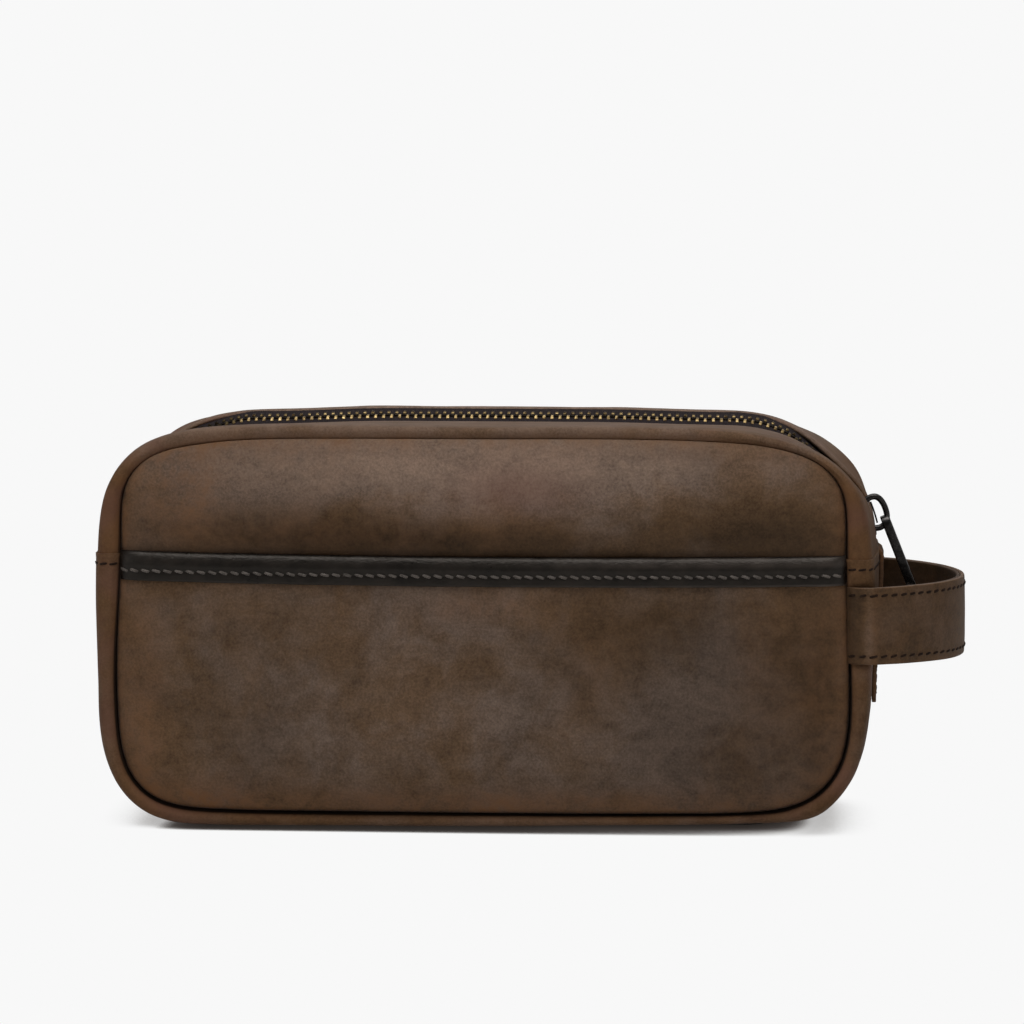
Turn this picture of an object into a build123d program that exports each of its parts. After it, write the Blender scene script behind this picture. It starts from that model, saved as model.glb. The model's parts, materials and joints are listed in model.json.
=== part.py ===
from build123d import *
import math
import os

# Zip-top leather toiletry bag with a side carry loop.
# Millimetres. +X to the carry loop, -Y to the front (pocket) face, +Z up.
# Origin: middle of the flat base, on the surface the bag stands on.

# ---------------------------------------------------------------- driving sizes
LEATHER = 1.6            # gusset leather
SEAM_Y = 44.0            # half depth at the two panel seams
BASE_HALF = 139.3        # half width of the lower gusset
SEAM_HALF = 128.5        # half width of the panels at their seam
PANEL_TOP, PANEL_BOTTOM = 138.0, 6.9
PANEL_R = 30.0           # panel corner radius
PANEL_T = 1.8
PANEL_Y = SEAM_Y + 0.2   # inner face of the panels, just clear of the seams
TOP = 146.0              # top of the leather beside the zip
ZIP_HALF = 137.6         # half width of the zip gusset beside the zip
ZIP_R = 54.0             # corner radius of the zip gusset beside the zip
ZIP_CX, ZIP_CZ = ZIP_HALF - ZIP_R, TOP - ZIP_R   # centre of the right zip corner
ZIP_OPEN_HALF = 9.0      # leather stops this far from the zip's centre line
HEM_Z = 98.0             # upper hem of the lower gusset
ZIP_LOW_Z = 86.0         # zip gusset runs down inside the hem to here
FOLD_Z = 99.0            # line the front of the mouth folds about
STITCH_PITCH = 4.0

# lower gusset: (y, half width, bottom, bottom corner radius), front to back
BASE_SECTIONS = [
    (-SEAM_Y, SEAM_HALF, PANEL_BOTTOM, PANEL_R),
    (-40, 135.0, 2.0, 33),
    (-32, BASE_HALF, 0, 35),
]
BASE_SECTIONS += [(-y, *rest) for y, *rest in reversed(BASE_SECTIONS)]
# front zip gusset: (y, half width, top, top corner radius), seam to zip
ZIP_SECTIONS = [
    (-SEAM_Y, 126.8, PANEL_TOP, 30),
    (-40, 133.3, 142.5, 38),
    (-32, 137.2, 144.5, 46),
    (-15, ZIP_HALF, TOP, ZIP_R),
    (-ZIP_OPEN_HALF, ZIP_HALF, TOP, ZIP_R),
]
BASE_LOFT_TOP = 190      # the lofts run past the height they are cut at
ZIP_LOFT_LOW = 40
WASTE_R = 5              # corner radius in the part of an outline that is cut away
END_CLEARANCE = 0.5      # the hollowing loft passes each open end by this much


# ---------------------------------------------------------------- shared helpers
def outline(y, half_width, low, top, low_r, top_r):
    """Rounded upright outline in the plane at y."""
    with BuildSketch(Plane.XZ.offset(-y)) as section:
        with BuildLine():
            Line((-half_width + low_r, low), (half_width - low_r, low))
            CenterArc((half_width - low_r, low + low_r), low_r, -90, 90)
            Line((half_width, low + low_r), (half_width, top - top_r))
            CenterArc((half_width - top_r, top - top_r), top_r, 0, 90)
            Line((half_width - top_r, top), (-half_width + top_r, top))
            CenterArc((-half_width + top_r, top - top_r), top_r, 90, 90)
            Line((-half_width, top - top_r), (-half_width, low + low_r))
            CenterArc((-half_width + low_r, low + low_r), low_r, 180, 90)
        make_face()
    return section.sketch


def grow_ends(sections, grow):
    """Sections with the first and last moved outwards along Y."""
    (first_y, *first), *middle, (last_y, *last) = sections
    return [(first_y - grow, *first), *middle, (last_y + grow, *last)]


def base_sections(inset, grow=0.0):
    return [outline(y, half_width - inset, low + inset, BASE_LOFT_TOP + inset,
                    corner_r - inset, WASTE_R)
            for y, half_width, low, corner_r in grow_ends(BASE_SECTIONS, grow)]


def zip_sections(inset, grow=0.0):
    return [outline(y, half_width - inset, ZIP_LOFT_LOW - inset, top - inset,
                    WASTE_R, corner_r - inset)
            for y, half_width, top, corner_r in grow_ends(ZIP_SECTIONS, grow)]


def hollow_loft(sections, outer_inset, inner_inset):
    """Add a lofted shell, open at both ends, to the part being built."""
    loft(sections(outer_inset), ruled=True)
    loft(sections(inner_inset, grow=END_CLEARANCE), ruled=True, mode=Mode.SUBTRACT)


def cut_sheet(sheet_outline, thickness, cut_z, keep):
    """Sheet extruded towards the front and cut off level at cut_z."""
    with BuildPart() as sheet:
        extrude(sheet_outline, amount=thickness)
        split(bisect_by=Plane.XY.offset(cut_z), keep=keep)
    return sheet.part


def mirrored(front):
    """The rear twin of a front piece."""
    with BuildPart() as rear:
        add(front)
        mirror(about=Plane.XZ, mode=Mode.REPLACE)
    return rear.part


# ---------------------------------------------------------------- leather shell
def base_gusset():
    with BuildPart() as gusset:
        hollow_loft(base_sections, 0, LEATHER)
        split(bisect_by=Plane.XY.offset(HEM_Z), keep=Keep.BOTTOM)
    return gusset.part


def zip_gusset_front():
    with BuildPart() as gusset:
        hollow_loft(zip_sections, 0, LEATHER)
        split(bisect_by=Plane.XY.offset(ZIP_LOW_Z), keep=Keep.TOP)
    return gusset.part


def panel_outline(y):
    return outline(y, SEAM_HALF, PANEL_BOTTOM, PANEL_TOP, PANEL_R, PANEL_R)


def back_panel():
    """The back is one panel, its outer rim rounded."""
    with BuildPart() as panel:
        extrude(panel_outline(PANEL_Y), amount=-PANEL_T)
        fillet(panel.faces().sort_by(Axis.Y)[-1].edges(), radius=0.7)
    return panel.part


# the front panel is in two, with a gap at the fold
def front_panel_lower():
    return cut_sheet(panel_outline(-PANEL_Y), PANEL_T, FOLD_Z - 0.2, Keep.BOTTOM)


def front_panel_upper():
    return cut_sheet(panel_outline(-PANEL_Y), PANEL_T, FOLD_Z + 1.0, Keep.TOP)


POCKET_Y = -47.1         # inner face of the pocket
POCKET_T = 1.5
POCKET_TOP = 97.4        # slip pocket mouth
TRIM_TOP, TRIM_LOW = 98.3, 88.0
TRIM_HALF = SEAM_HALF - 0.5
TRIM_FRONT, TRIM_BACK = -49.7, -46.1
# trim section, an upside-down channel over the pocket mouth: (y, z)
TRIM_SECTION = [
    (TRIM_FRONT, TRIM_LOW), (TRIM_FRONT, 97.9), (-49.3, TRIM_TOP), (-46.5, TRIM_TOP),
    (TRIM_BACK, 97.9), (TRIM_BACK, TRIM_LOW), (-47.0, TRIM_LOW), (-47.0, 97.5),
    (-48.7, 97.5), (-48.7, TRIM_LOW),
]


def front_pocket():
    """Open-topped slip pocket over the lower front panel."""
    return cut_sheet(panel_outline(POCKET_Y), POCKET_T, POCKET_TOP, Keep.BOTTOM)


def pocket_trim():
    """Black leather binding on the pocket mouth."""
    with BuildPart() as trim:
        with BuildSketch(Plane.YZ.offset(-TRIM_HALF)):
            with BuildLine():
                Polyline(*TRIM_SECTION, close=True)
            make_face()
        extrude(amount=2 * TRIM_HALF)
    return trim.part


BOARD_Z, BOARD_T = 1.75, 1.6
BOARD_LENGTH, BOARD_DEPTH, BOARD_R = 196, 62, 6


def base_board():
    """Stiffening board on the floor of the bag, between leather and lining."""
    with BuildPart() as board:
        with BuildSketch(Plane.XY.offset(BOARD_Z)):
            RectangleRounded(BOARD_LENGTH, BOARD_DEPTH, BOARD_R)
        extrude(amount=BOARD_T)
    return board.part


# ---------------------------------------------------------------- lining
LINING_T = 0.5
LINING_INSET = 3.6       # lining gusset, in from the leather's outer face
LINING_GUSSET_TOP = 85.5
LINING_GUSSET_Y = 41     # the lining gusset ends here, front and back
LINING_Y = 41.2          # inner face of the flat linings
LINING_HALF, LINING_LOW, LINING_TOP, LINING_R = 124.6, 10.8, 134.5, 27


def lining_gusset():
    with BuildPart() as gusset:
        hollow_loft(base_sections, LINING_INSET, LINING_INSET + LINING_T)
        split(bisect_by=Plane.XY.offset(LINING_GUSSET_TOP), keep=Keep.BOTTOM)
        split(bisect_by=Plane.XZ.offset(LINING_GUSSET_Y), keep=Keep.BOTTOM)
        split(bisect_by=Plane.XZ.offset(-LINING_GUSSET_Y), keep=Keep.TOP)
    return gusset.part


def lining_outline(y):
    return outline(y, LINING_HALF, LINING_LOW, LINING_TOP, LINING_R, LINING_R)


def lining_back():
    with BuildPart() as lining:
        extrude(lining_outline(LINING_Y), amount=-LINING_T)
    return lining.part


def lining_front_lower():
    return cut_sheet(lining_outline(-LINING_Y), LINING_T, FOLD_Z - 1.4, Keep.BOTTOM)


def lining_front_upper():
    return cut_sheet(lining_outline(-LINING_Y), LINING_T, FOLD_Z, Keep.TOP)


# ---------------------------------------------------------------- zip: tapes, teeth, stops
TAPE_INSET = 2.1         # tape's mid surface, in from the leather's outline
TAPE_R = ZIP_R - TAPE_INSET      # tape's mid surface round the corners
TAPE_T = 0.8
TAPE_EDGE_Y = 1.3        # tape edge to the zip's centre line
TAPE_WIDTH = 12.7
TAPE_LOW_Z = 88

TOOTH_PITCH = 2.87
TEETH_FROM, TEETH_TO = 24.8, 171.5   # degrees, anticlockwise from +X seen from the front
RIGHT_LENGTH = math.radians(90 - TEETH_FROM) * TAPE_R
TOP_LENGTH = 2 * ZIP_CX
LEFT_LENGTH = math.radians(TEETH_TO - 90) * TAPE_R
TOOTH_COUNT = int((RIGHT_LENGTH + TOP_LENGTH + LEFT_LENGTH) / TOOTH_PITCH)
TOOTH_T = 1.2
# front tooth, a head over the centre line and two legs astride the tape's edge: (y, out)
TOOTH_SECTION = [
    (0.7, -0.75), (0.7, 0.75), (0.3, 1.3), (-3.0, 1.3), (-3.2, 1.1), (-3.2, 0.5),
    (-1.2, 0.5), (-1.2, -0.5), (-3.2, -0.5), (-3.2, -1.1), (-3.0, -1.3), (0.3, -1.3),
]

TOP_STOP_LENGTH, TOP_STOP_ANGLE = 2.4, 7.6
# front top stop, a clamp on the tape's edge: (y, out)
TOP_STOP_SECTION = [
    (-0.5, -1.5), (-0.5, 1.5), (-3.5, 1.5), (-3.5, 0.5),
    (-1.2, 0.5), (-1.2, -0.5), (-3.5, -0.5), (-3.5, -1.5),
]
BOTTOM_STOP_LENGTH, BOTTOM_STOP_ANGLE = 3.2, 5.4
BOTTOM_STOP_WIDTH, BOTTOM_STOP_R = 7.4, 0.6
BOTTOM_STOP_PLATE, BOTTOM_STOP_GAP = 1.0, 1.0    # plate thickness, gap between plates
BOTTOM_STOP_WEB = 2.2    # width of the web that joins the plates


def zip_tape_front():
    """Band that follows the zip over the top."""
    outer, inner = TAPE_INSET - TAPE_T / 2, TAPE_INSET + TAPE_T / 2
    with BuildPart() as tape:
        extrude(outline(-TAPE_EDGE_Y, ZIP_HALF - outer, 60, TOP - outer,
                        WASTE_R, ZIP_R - outer), amount=TAPE_WIDTH)
        extrude(outline(-TAPE_EDGE_Y, ZIP_HALF - inner, 55, TOP - inner,
                        WASTE_R, ZIP_R - inner), amount=TAPE_WIDTH, mode=Mode.SUBTRACT)
        split(bisect_by=Plane.XY.offset(TAPE_LOW_Z), keep=Keep.TOP)
    return tape.part


def corner_point(radius, angle):
    """(x, z) about the right zip corner's centre, angle in degrees up from +X."""
    return (ZIP_CX + radius * math.cos(math.radians(angle)),
            ZIP_CZ + radius * math.sin(math.radians(angle)))


def on_corner(angle, side=1):
    """Place on the zip, degrees up the right (side 1) or left (-1) corner; local Z points out."""
    x, z = corner_point(TAPE_R, angle)
    return Location((side * x, 0, z), (0, side * (90 - angle), 0))


def along_zip(distance):
    """Place on the zip at a distance from the right end of the teeth; local X runs along it."""
    if distance < RIGHT_LENGTH:
        return on_corner(TEETH_FROM + math.degrees(distance / TAPE_R))
    past_right = distance - RIGHT_LENGTH
    if past_right < TOP_LENGTH:
        return Location((ZIP_CX - past_right, 0, ZIP_CZ + TAPE_R))
    return on_corner(90 - math.degrees((past_right - TOP_LENGTH) / TAPE_R), side=-1)


def front_tooth():
    with BuildPart() as tooth:
        with BuildSketch(Plane.YZ.offset(-TOOTH_T / 2)):
            with BuildLine():
                Polyline(*TOOTH_SECTION, close=True)
            make_face()
        extrude(amount=TOOTH_T)
    return tooth.part


def zip_teeth(tooth, phase):
    """Row of teeth, started at a fraction of the pitch so that the two rows mesh."""
    with BuildPart() as teeth:
        with Locations(*[along_zip((i + phase) * TOOTH_PITCH) for i in range(TOOTH_COUNT)]):
            add(tooth)
    return teeth.part


def zip_top_stop_front():
    """Small clamp on the front tape at the zip's right end."""
    with BuildPart() as stop:
        with BuildSketch(Plane.YZ.offset(-TOP_STOP_LENGTH / 2)):
            with BuildLine():
                Polyline(*TOP_STOP_SECTION, close=True)
            make_face()
        extrude(amount=TOP_STOP_LENGTH)
        fillet(stop.edges().filter_by(Axis.X).group_by(Axis.Y)[-1], radius=0.5)
    return stop.part.moved(on_corner(TOP_STOP_ANGLE))


def zip_bottom_stop():
    """Two joined plates across both tapes at the zip's left end."""
    with BuildPart() as stop:
        for side in (1, -1):
            with BuildSketch(Plane.XY.offset(side * BOTTOM_STOP_GAP / 2)):
                RectangleRounded(BOTTOM_STOP_LENGTH, BOTTOM_STOP_WIDTH, BOTTOM_STOP_R)
            extrude(amount=side * BOTTOM_STOP_PLATE)
        with BuildSketch(Plane.XY.offset(-BOTTOM_STOP_GAP / 2)):
            Rectangle(BOTTOM_STOP_LENGTH, BOTTOM_STOP_WEB)
        extrude(amount=BOTTOM_STOP_GAP)
    return stop.part.moved(on_corner(BOTTOM_STOP_ANGLE, side=-1))


# ---------------------------------------------------------------- zip slider and puller
# Angles are degrees up the right zip corner. The slider's plates follow the corner's curve,
# so they are cut from rings about its centre.
SLIDER_AT = 17.0         # slider's middle at rest
SLIDER_SPAN = 6.5        # its half length
SLIDER_START, SLIDER_END = SLIDER_AT - SLIDER_SPAN, SLIDER_AT + SLIDER_SPAN
CHANNEL = 1.65           # half height of the channel the teeth run in
SLIDER_PLATE_T = 1.3
PLATE_R = TAPE_R + CHANNEL + SLIDER_PLATE_T      # slider's outer face
SLIDER_HALF, CHANNEL_HALF = 5.2, 3.9             # half widths
TAPE_SLOT = 0.75         # half height of the side slots for the tapes
POST_HALF = 0.9          # half width of the post between the plates
SEAT_GAP = 0.05          # bail and spring stand this far off the outer plate

BAIL_WIDTH = 2.3
# bail's side view, out along its outer edge and back: (height over the outer plate, angle)
BAIL = [
    (SEAT_GAP, 25.2), (4.2, 25.0), (6.2, 22.8), (7.0, 19.0), (6.7, 15.8), (5.2, 12.6),
    (SEAT_GAP, 11.4), (SEAT_GAP, 13.2), (4.2, 13.9), (5.4, 16.2), (5.7, 19.0),
    (5.1, 21.9), (3.3, 23.3), (SEAT_GAP, 23.5),
]

PIVOT_X, PIVOT_Z = corner_point(58.25, 15.35)
PULL_LEAN = 22.0         # puller's lean from straight down at rest
PULLER_T = 2.3
PULLER_LENGTH, PULLER_WIDTH = 29.0, 9.2
CROSSBAR_X = -0.2        # crossbar's middle on the puller blank


def ring_face(inner_r, outer_r, y, start, end):
    """Ring sector about the corner's centre, in the plane at y."""
    with BuildSketch(Plane.XZ.offset(-y)) as face:
        with BuildLine():
            CenterArc((ZIP_CX, ZIP_CZ), outer_r, start, end - start)
            CenterArc((ZIP_CX, ZIP_CZ), inner_r, start, end - start)
            for angle in (start, end):
                Line(corner_point(inner_r, angle), corner_point(outer_r, angle))
        make_face()
    return face.sketch


def ring_block(inner_r, outer_r, half_width, start, end, mode=Mode.ADD):
    """Apply a ring sector, centred on y = 0, to the part being built."""
    extrude(ring_face(inner_r, outer_r, half_width, start, end),
            amount=2 * half_width, mode=mode)


def slider_body():
    past_start, past_end = SLIDER_START - 1, SLIDER_END + 1
    post_reach = CHANNEL + 0.2
    with BuildPart() as body:
        ring_block(TAPE_R - CHANNEL - SLIDER_PLATE_T, PLATE_R, SLIDER_HALF,
                   SLIDER_START, SLIDER_END)
        ring_block(TAPE_R - CHANNEL, TAPE_R + CHANNEL, CHANNEL_HALF,
                   past_start, past_end, Mode.SUBTRACT)
        ring_block(TAPE_R - TAPE_SLOT, TAPE_R + TAPE_SLOT, 6.0,
                   past_start, past_end, Mode.SUBTRACT)
        ring_block(TAPE_R - post_reach, TAPE_R + post_reach, POST_HALF,
                   SLIDER_START + 0.4, SLIDER_START + 3.6)
    return body.part


def slider_bail():
    """Arch along the zip that holds the puller's crossbar."""
    with BuildPart() as bail:
        with BuildSketch(Plane.XZ.offset(-BAIL_WIDTH / 2)):
            with BuildLine():
                Polyline(*[corner_point(PLATE_R + height, angle) for height, angle in BAIL],
                         close=True)
            make_face()
        extrude(amount=BAIL_WIDTH)
        # curve the feet to the plate
        ring_block(PLATE_R - 2, PLATE_R + SEAT_GAP, 2, 5, 30, Mode.SUBTRACT)
    return bail.part


def slider_lock_spring():
    """Lock spring on the slider's outer plate, under the bail."""
    with BuildPart() as spring:
        ring_block(PLATE_R + SEAT_GAP, PLATE_R + 0.65, 0.8, 14.3, 22.4)
    return spring.part


def puller():
    with BuildPart() as blank:
        with BuildSketch(Plane.XY.offset(-PULLER_T / 2)):
            with Locations((13.3, 0)):
                SlotOverall(PULLER_LENGTH, PULLER_WIDTH)
            with Locations((3.0, 0)):
                RectangleRounded(4.4, 4.6, 1.0, mode=Mode.SUBTRACT)
            with Locations((16.8, 0)):
                SlotOverall(16.0, 4.4, mode=Mode.SUBTRACT)
        extrude(amount=PULLER_T)
        fillet(blank.faces().filter_by(Axis.Z).edges(), radius=0.45)
    # the crossbar's middle sits on the pivot
    return blank.part.moved(Location((-CROSSBAR_X, 0, 0))).moved(
        Location((PIVOT_X, 0, PIVOT_Z), (0, 90 - PULL_LEAN, 0)))


# ---------------------------------------------------------------- carry loop
LOOP_LOW, LOOP_TALL = 61.2, 26.7   # strap's lower edge and height
LOOP_ROOT_X = 128.7      # where the strap leaves the seams
LOOP_CUT_DEPTH = 120     # the side view cut spans the whole loop
LOOP_CUT_EXTRA = 80      # and runs on past its outer end
TAIL_X, TAIL_Y = 116.5, 43.0
TAIL_LENGTH, TAIL_T = 16.0, 2.0
# strap's outer face seen from above, front root to rear root: (x, y)
LOOP_PLAN = [
    (127.0, -48.6), (133.0, -48.0), (139.0, -46.4), (146.0, -42.2),
    (154.6, -34.4), (162.0, -24.6), (166.8, -12.6), (168.3, 0.0),
]
LOOP_PLAN += [(x, -y) for x, y in reversed(LOOP_PLAN[:-1])]


def loop_points(inset):
    """The strap's line seen from above, moved inwards by inset."""
    points = []
    for i, (x, y) in enumerate(LOOP_PLAN):
        x0, y0 = LOOP_PLAN[max(0, i - 1)]
        x1, y1 = LOOP_PLAN[min(len(LOOP_PLAN) - 1, i + 1)]
        chord = math.hypot(x1 - x0, y1 - y0)
        points.append((x - inset * (y1 - y0) / chord, y + inset * (x1 - x0) / chord))
    return points


def loop_plan(outer_inset, inner_inset):
    """Plan of one strap layer."""
    outer, inner = loop_points(outer_inset), loop_points(inner_inset)
    with BuildSketch(Plane.XY.offset(LOOP_LOW)) as plan:
        with BuildLine():
            Spline(*outer)
            Spline(*inner)
            Line(outer[0], inner[0])
            Line(outer[-1], inner[-1])
        make_face()
    return plan.sketch


def loop_side():
    """Front view of the loop: the strap's root ends are round, so it can tilt."""
    with BuildSketch(Plane.XZ.offset(-LOOP_CUT_DEPTH / 2)) as side:
        with Locations((LOOP_ROOT_X + (LOOP_TALL + LOOP_CUT_EXTRA) / 2,
                        LOOP_LOW + LOOP_TALL / 2)):
            SlotOverall(LOOP_TALL + LOOP_CUT_EXTRA, LOOP_TALL)
    return side.sketch


def loop_layer(outer_inset, inner_inset):
    with BuildPart() as layer:
        extrude(loop_plan(outer_inset, inner_inset), amount=LOOP_TALL)
        extrude(loop_side(), amount=LOOP_CUT_DEPTH, mode=Mode.INTERSECT)
    return layer.part


def loop_tails():
    """The strap's two ends, sewn in behind the panel seams."""
    with BuildPart() as tails:
        for side in (-1, 1):
            with BuildSketch(Plane.XY.offset(LOOP_LOW)):
                with Locations((TAIL_X, side * TAIL_Y)):
                    Rectangle(TAIL_LENGTH, TAIL_T)
            extrude(amount=LOOP_TALL)
    return tails.part


TAB_X = BASE_HALF + 0.1  # tab's inner face
TAB_T = 1.6
TAB_WIDTH, TAB_HEIGHT, TAB_R = 24, 56.6, 3
TAB_MID_Z = 69.7


def zip_end_tab():
    """Leather tab sewn over the zip's lower end on the loop side."""
    with BuildPart() as tab:
        with BuildSketch(Plane.YZ.offset(TAB_X)):
            with Locations((0, TAB_MID_Z)):
                RectangleRounded(TAB_WIDTH, TAB_HEIGHT, TAB_R)
        extrude(amount=TAB_T)
    return tab.part


# ---------------------------------------------------------------- thread
THREAD_R = 0.35
STITCH_LENGTH = 2.2      # between the centres of its round ends
THREAD_OUT = 0.4         # stitch centre line, out from the leather
LOOP_THREAD_OUT = 0.5
LOOP_THREAD_EDGE = 2.8   # in from the strap's edges
LOOP_THREAD_FROM_X = LOOP_ROOT_X + 9.5
TRIM_THREAD_Z = 91.2
HEM_THREAD_Z = HEM_Z - 3.3
TAB_THREAD_Z = (95.4, 46.0)


def thread(places):
    """One stitch, lying along local X, at each place."""
    with BuildPart() as stitch:
        Cylinder(THREAD_R, STITCH_LENGTH, rotation=(0, 90, 0))
        with Locations((-STITCH_LENGTH / 2, 0, 0), (STITCH_LENGTH / 2, 0, 0)):
            Sphere(THREAD_R)
    with BuildPart() as row:
        with Locations(*places):
            add(stitch.part)
    return row.part


def centred_steps(count):
    """Stitch positions either side of zero, count each way."""
    return [i * STITCH_PITCH for i in range(-count, count + 1)]


def pocket_trim_thread():
    return thread([Location((x, TRIM_FRONT - THREAD_OUT, TRIM_THREAD_Z))
                   for x in centred_steps(31)])


def loop_thread():
    """Two rows round the outside of the strap, clear of its roots."""
    with BuildLine() as line:
        Spline(*loop_points(-LOOP_THREAD_OUT))
    edge = line.edges()[0]
    length = edge.length
    places = []
    for i in range(int(length / STITCH_PITCH) + 1):
        at = edge @ (i * STITCH_PITCH / length)
        along = edge % (i * STITCH_PITCH / length)
        if at.X > LOOP_THREAD_FROM_X:
            turn = math.degrees(math.atan2(along.Y, along.X))
            for height in (LOOP_THREAD_EDGE, LOOP_TALL - LOOP_THREAD_EDGE):
                places.append(Location((at.X, at.Y, LOOP_LOW + height), (0, 0, turn)))
    return thread(places)


def hem_thread():
    """Row along the hem at each end of the bag, left out where the tab covers it."""
    return thread([Location((side * (BASE_HALF + THREAD_OUT), y, HEM_THREAD_Z), (0, 0, 90))
                   for side in (-1, 1) for y in centred_steps(7)
                   if side < 0 or abs(y) > TAB_WIDTH / 2 + 1])


def tab_thread():
    return thread([Location((TAB_X + TAB_T + THREAD_OUT, y, z), (0, 0, 90))
                   for z in TAB_THREAD_Z for y in centred_steps(2)])


# ---------------------------------------------------------------- write one file per piece
pieces = {
    "zip_teeth_front": zip_teeth(front_tooth(), 0.25),
    "zip_teeth_rear": zip_teeth(mirrored(front_tooth()), 0.75),
    "loop_outer": loop_layer(0, 1.5),
    "loop_inner": loop_layer(1.55, 2.9),
}
for build in (base_gusset, zip_gusset_front, back_panel, front_panel_lower, front_panel_upper,
              front_pocket, pocket_trim, base_board, lining_gusset, lining_back,
              lining_front_lower, lining_front_upper, zip_tape_front, zip_top_stop_front,
              zip_bottom_stop, slider_body, slider_bail, slider_lock_spring, puller,
              loop_tails, zip_end_tab, pocket_trim_thread, loop_thread, hem_thread,
              tab_thread):
    pieces[build.__name__] = build()
for name in ("zip_gusset", "zip_tape", "zip_top_stop"):
    pieces[f"{name}_rear"] = mirrored(pieces[f"{name}_front"])

os.makedirs("parts", exist_ok=True)
for name, piece in pieces.items():
    piece.label = name
    export_step(piece, f"parts/{name}.step")
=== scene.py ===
"""Soft leather bag with a zip over its top and a carry loop on its right side.

It stands on z = 0, wide along x, with its front toward -y and the loop toward +x.
Shapes are worked out in mm and scaled to metres when a mesh is made.
"""
import json
import math

import bpy
import bmesh
import numpy as np
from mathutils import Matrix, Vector, noise
from mathutils.bvhtree import BVHTree
from mathutils.geometry import delaunay_2d_cdt


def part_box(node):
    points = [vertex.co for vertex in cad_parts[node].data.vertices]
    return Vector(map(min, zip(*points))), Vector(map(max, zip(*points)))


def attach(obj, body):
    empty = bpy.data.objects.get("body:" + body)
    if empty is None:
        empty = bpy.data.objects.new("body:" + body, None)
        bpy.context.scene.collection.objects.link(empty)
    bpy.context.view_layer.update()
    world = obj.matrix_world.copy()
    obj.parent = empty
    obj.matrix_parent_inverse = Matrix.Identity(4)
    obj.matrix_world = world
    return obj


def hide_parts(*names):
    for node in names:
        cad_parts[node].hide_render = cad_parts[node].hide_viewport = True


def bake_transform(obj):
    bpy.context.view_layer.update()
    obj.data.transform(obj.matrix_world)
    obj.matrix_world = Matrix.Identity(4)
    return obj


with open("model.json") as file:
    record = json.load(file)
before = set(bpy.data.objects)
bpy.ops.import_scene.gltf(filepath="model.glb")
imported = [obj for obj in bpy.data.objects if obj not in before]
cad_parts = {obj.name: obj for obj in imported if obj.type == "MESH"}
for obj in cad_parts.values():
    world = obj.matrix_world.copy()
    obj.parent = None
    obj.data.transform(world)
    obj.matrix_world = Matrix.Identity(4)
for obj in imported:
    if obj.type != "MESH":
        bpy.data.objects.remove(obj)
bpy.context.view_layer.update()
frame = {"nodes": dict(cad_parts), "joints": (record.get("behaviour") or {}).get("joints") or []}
scene = bpy.context.scene

# ---- driving sizes in mm, read from the frame


def box_mm(node):
    low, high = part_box(node)
    return np.array(low) * 1000, np.array(high) * 1000


TOP = box_mm("zip_gusset_front")[1][2]
ZIP_HALF = box_mm("zip_gusset_front")[1][0]
HEM_Z = box_mm("base_gusset")[1][2]
SEAM_TOP = box_mm("back_panel")[1][2]
TRIM_TOP = box_mm("pocket_trim")[1][2]
LOOP_LOW, LOOP_TOP = (corner[2] for corner in box_mm("loop_outer"))
LOOP_X = box_mm("loop_outer")[1][0]
LOOP_TALL = LOOP_TOP - LOOP_LOW
LOOP_MID = (LOOP_LOW + LOOP_TOP) / 2
TAB_LOW, TAB_TOP = (corner[2] for corner in box_mm("zip_end_tab"))
JOINT_MM = {j["name"]: np.array(j["pos_m"]) * 1000 for j in frame["joints"]}
ZIP_CX, _, ZIP_CZ = JOINT_MM["slider_travel"]    # centre of the right top corner
PIVOT = JOINT_MM["puller_swing"]
FOLD_Z = JOINT_MM["mouth_open"][2]
ZIP_R = TOP - ZIP_CZ            # corner radius of the leather beside the zip
TAPE_R = ZIP_R - 2.1            # and of the middle of the tape
PITCH = 2.87                    # from tooth to tooth
SLIDER_AT = 17.0                # degrees round the right corner, up from its side

Y_AXIS, Z_AXIS = np.eye(3)[1:]

# ---- curves and numbers


def smoothstep(low, high, x):
    t = np.clip((np.asarray(x, float) - low) / (high - low), 0, 1)
    return t * t * (3 - 2 * t)


def hump(x, at, width):
    return np.exp(-((x - at) / width) ** 2)


def unit(vectors):
    return vectors / np.linalg.norm(vectors, axis=1)[:, None]


def catmull(points, steps=16, closed=True):
    """Centripetal Catmull-Rom curve through the points."""
    points = np.asarray(points, float)
    count = len(points)
    curve = []
    for i in range(count if closed else count - 1):
        if closed:
            p0, p1, p2, p3 = (points[(i + k) % count] for k in (-1, 0, 1, 2))
        else:
            p1, p2 = points[i], points[i + 1]
            p0 = points[i - 1] if i else 2 * p1 - p2
            p3 = points[i + 2] if i + 2 < count else 2 * p2 - p1
        gaps = [max(1e-6, np.linalg.norm(b - a) ** 0.5) for a, b in ((p0, p1), (p1, p2), (p2, p3))]
        slope1 = (p2 - p1) + gaps[1] * ((p1 - p0) / gaps[0] - (p2 - p0) / (gaps[0] + gaps[1]))
        slope2 = (p2 - p1) + gaps[1] * ((p3 - p2) / gaps[2] - (p3 - p1) / (gaps[1] + gaps[2]))
        cubic = 2 * (p1 - p2) + slope1 + slope2
        square = -3 * (p1 - p2) - 2 * slope1 - slope2
        for k in range(steps):
            t = k / steps
            curve.append(cubic * t ** 3 + square * t ** 2 + slope1 * t + p1)
    if not closed:
        curve.append(points[-1])
    return np.array(curve)


def arc_length(points):
    return np.concatenate([[0], np.cumsum(np.linalg.norm(np.diff(points, axis=0), axis=1))])


def point_at(points, lengths, at):
    return np.stack([np.interp(at, lengths, column) for column in points.T], -1)


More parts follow.
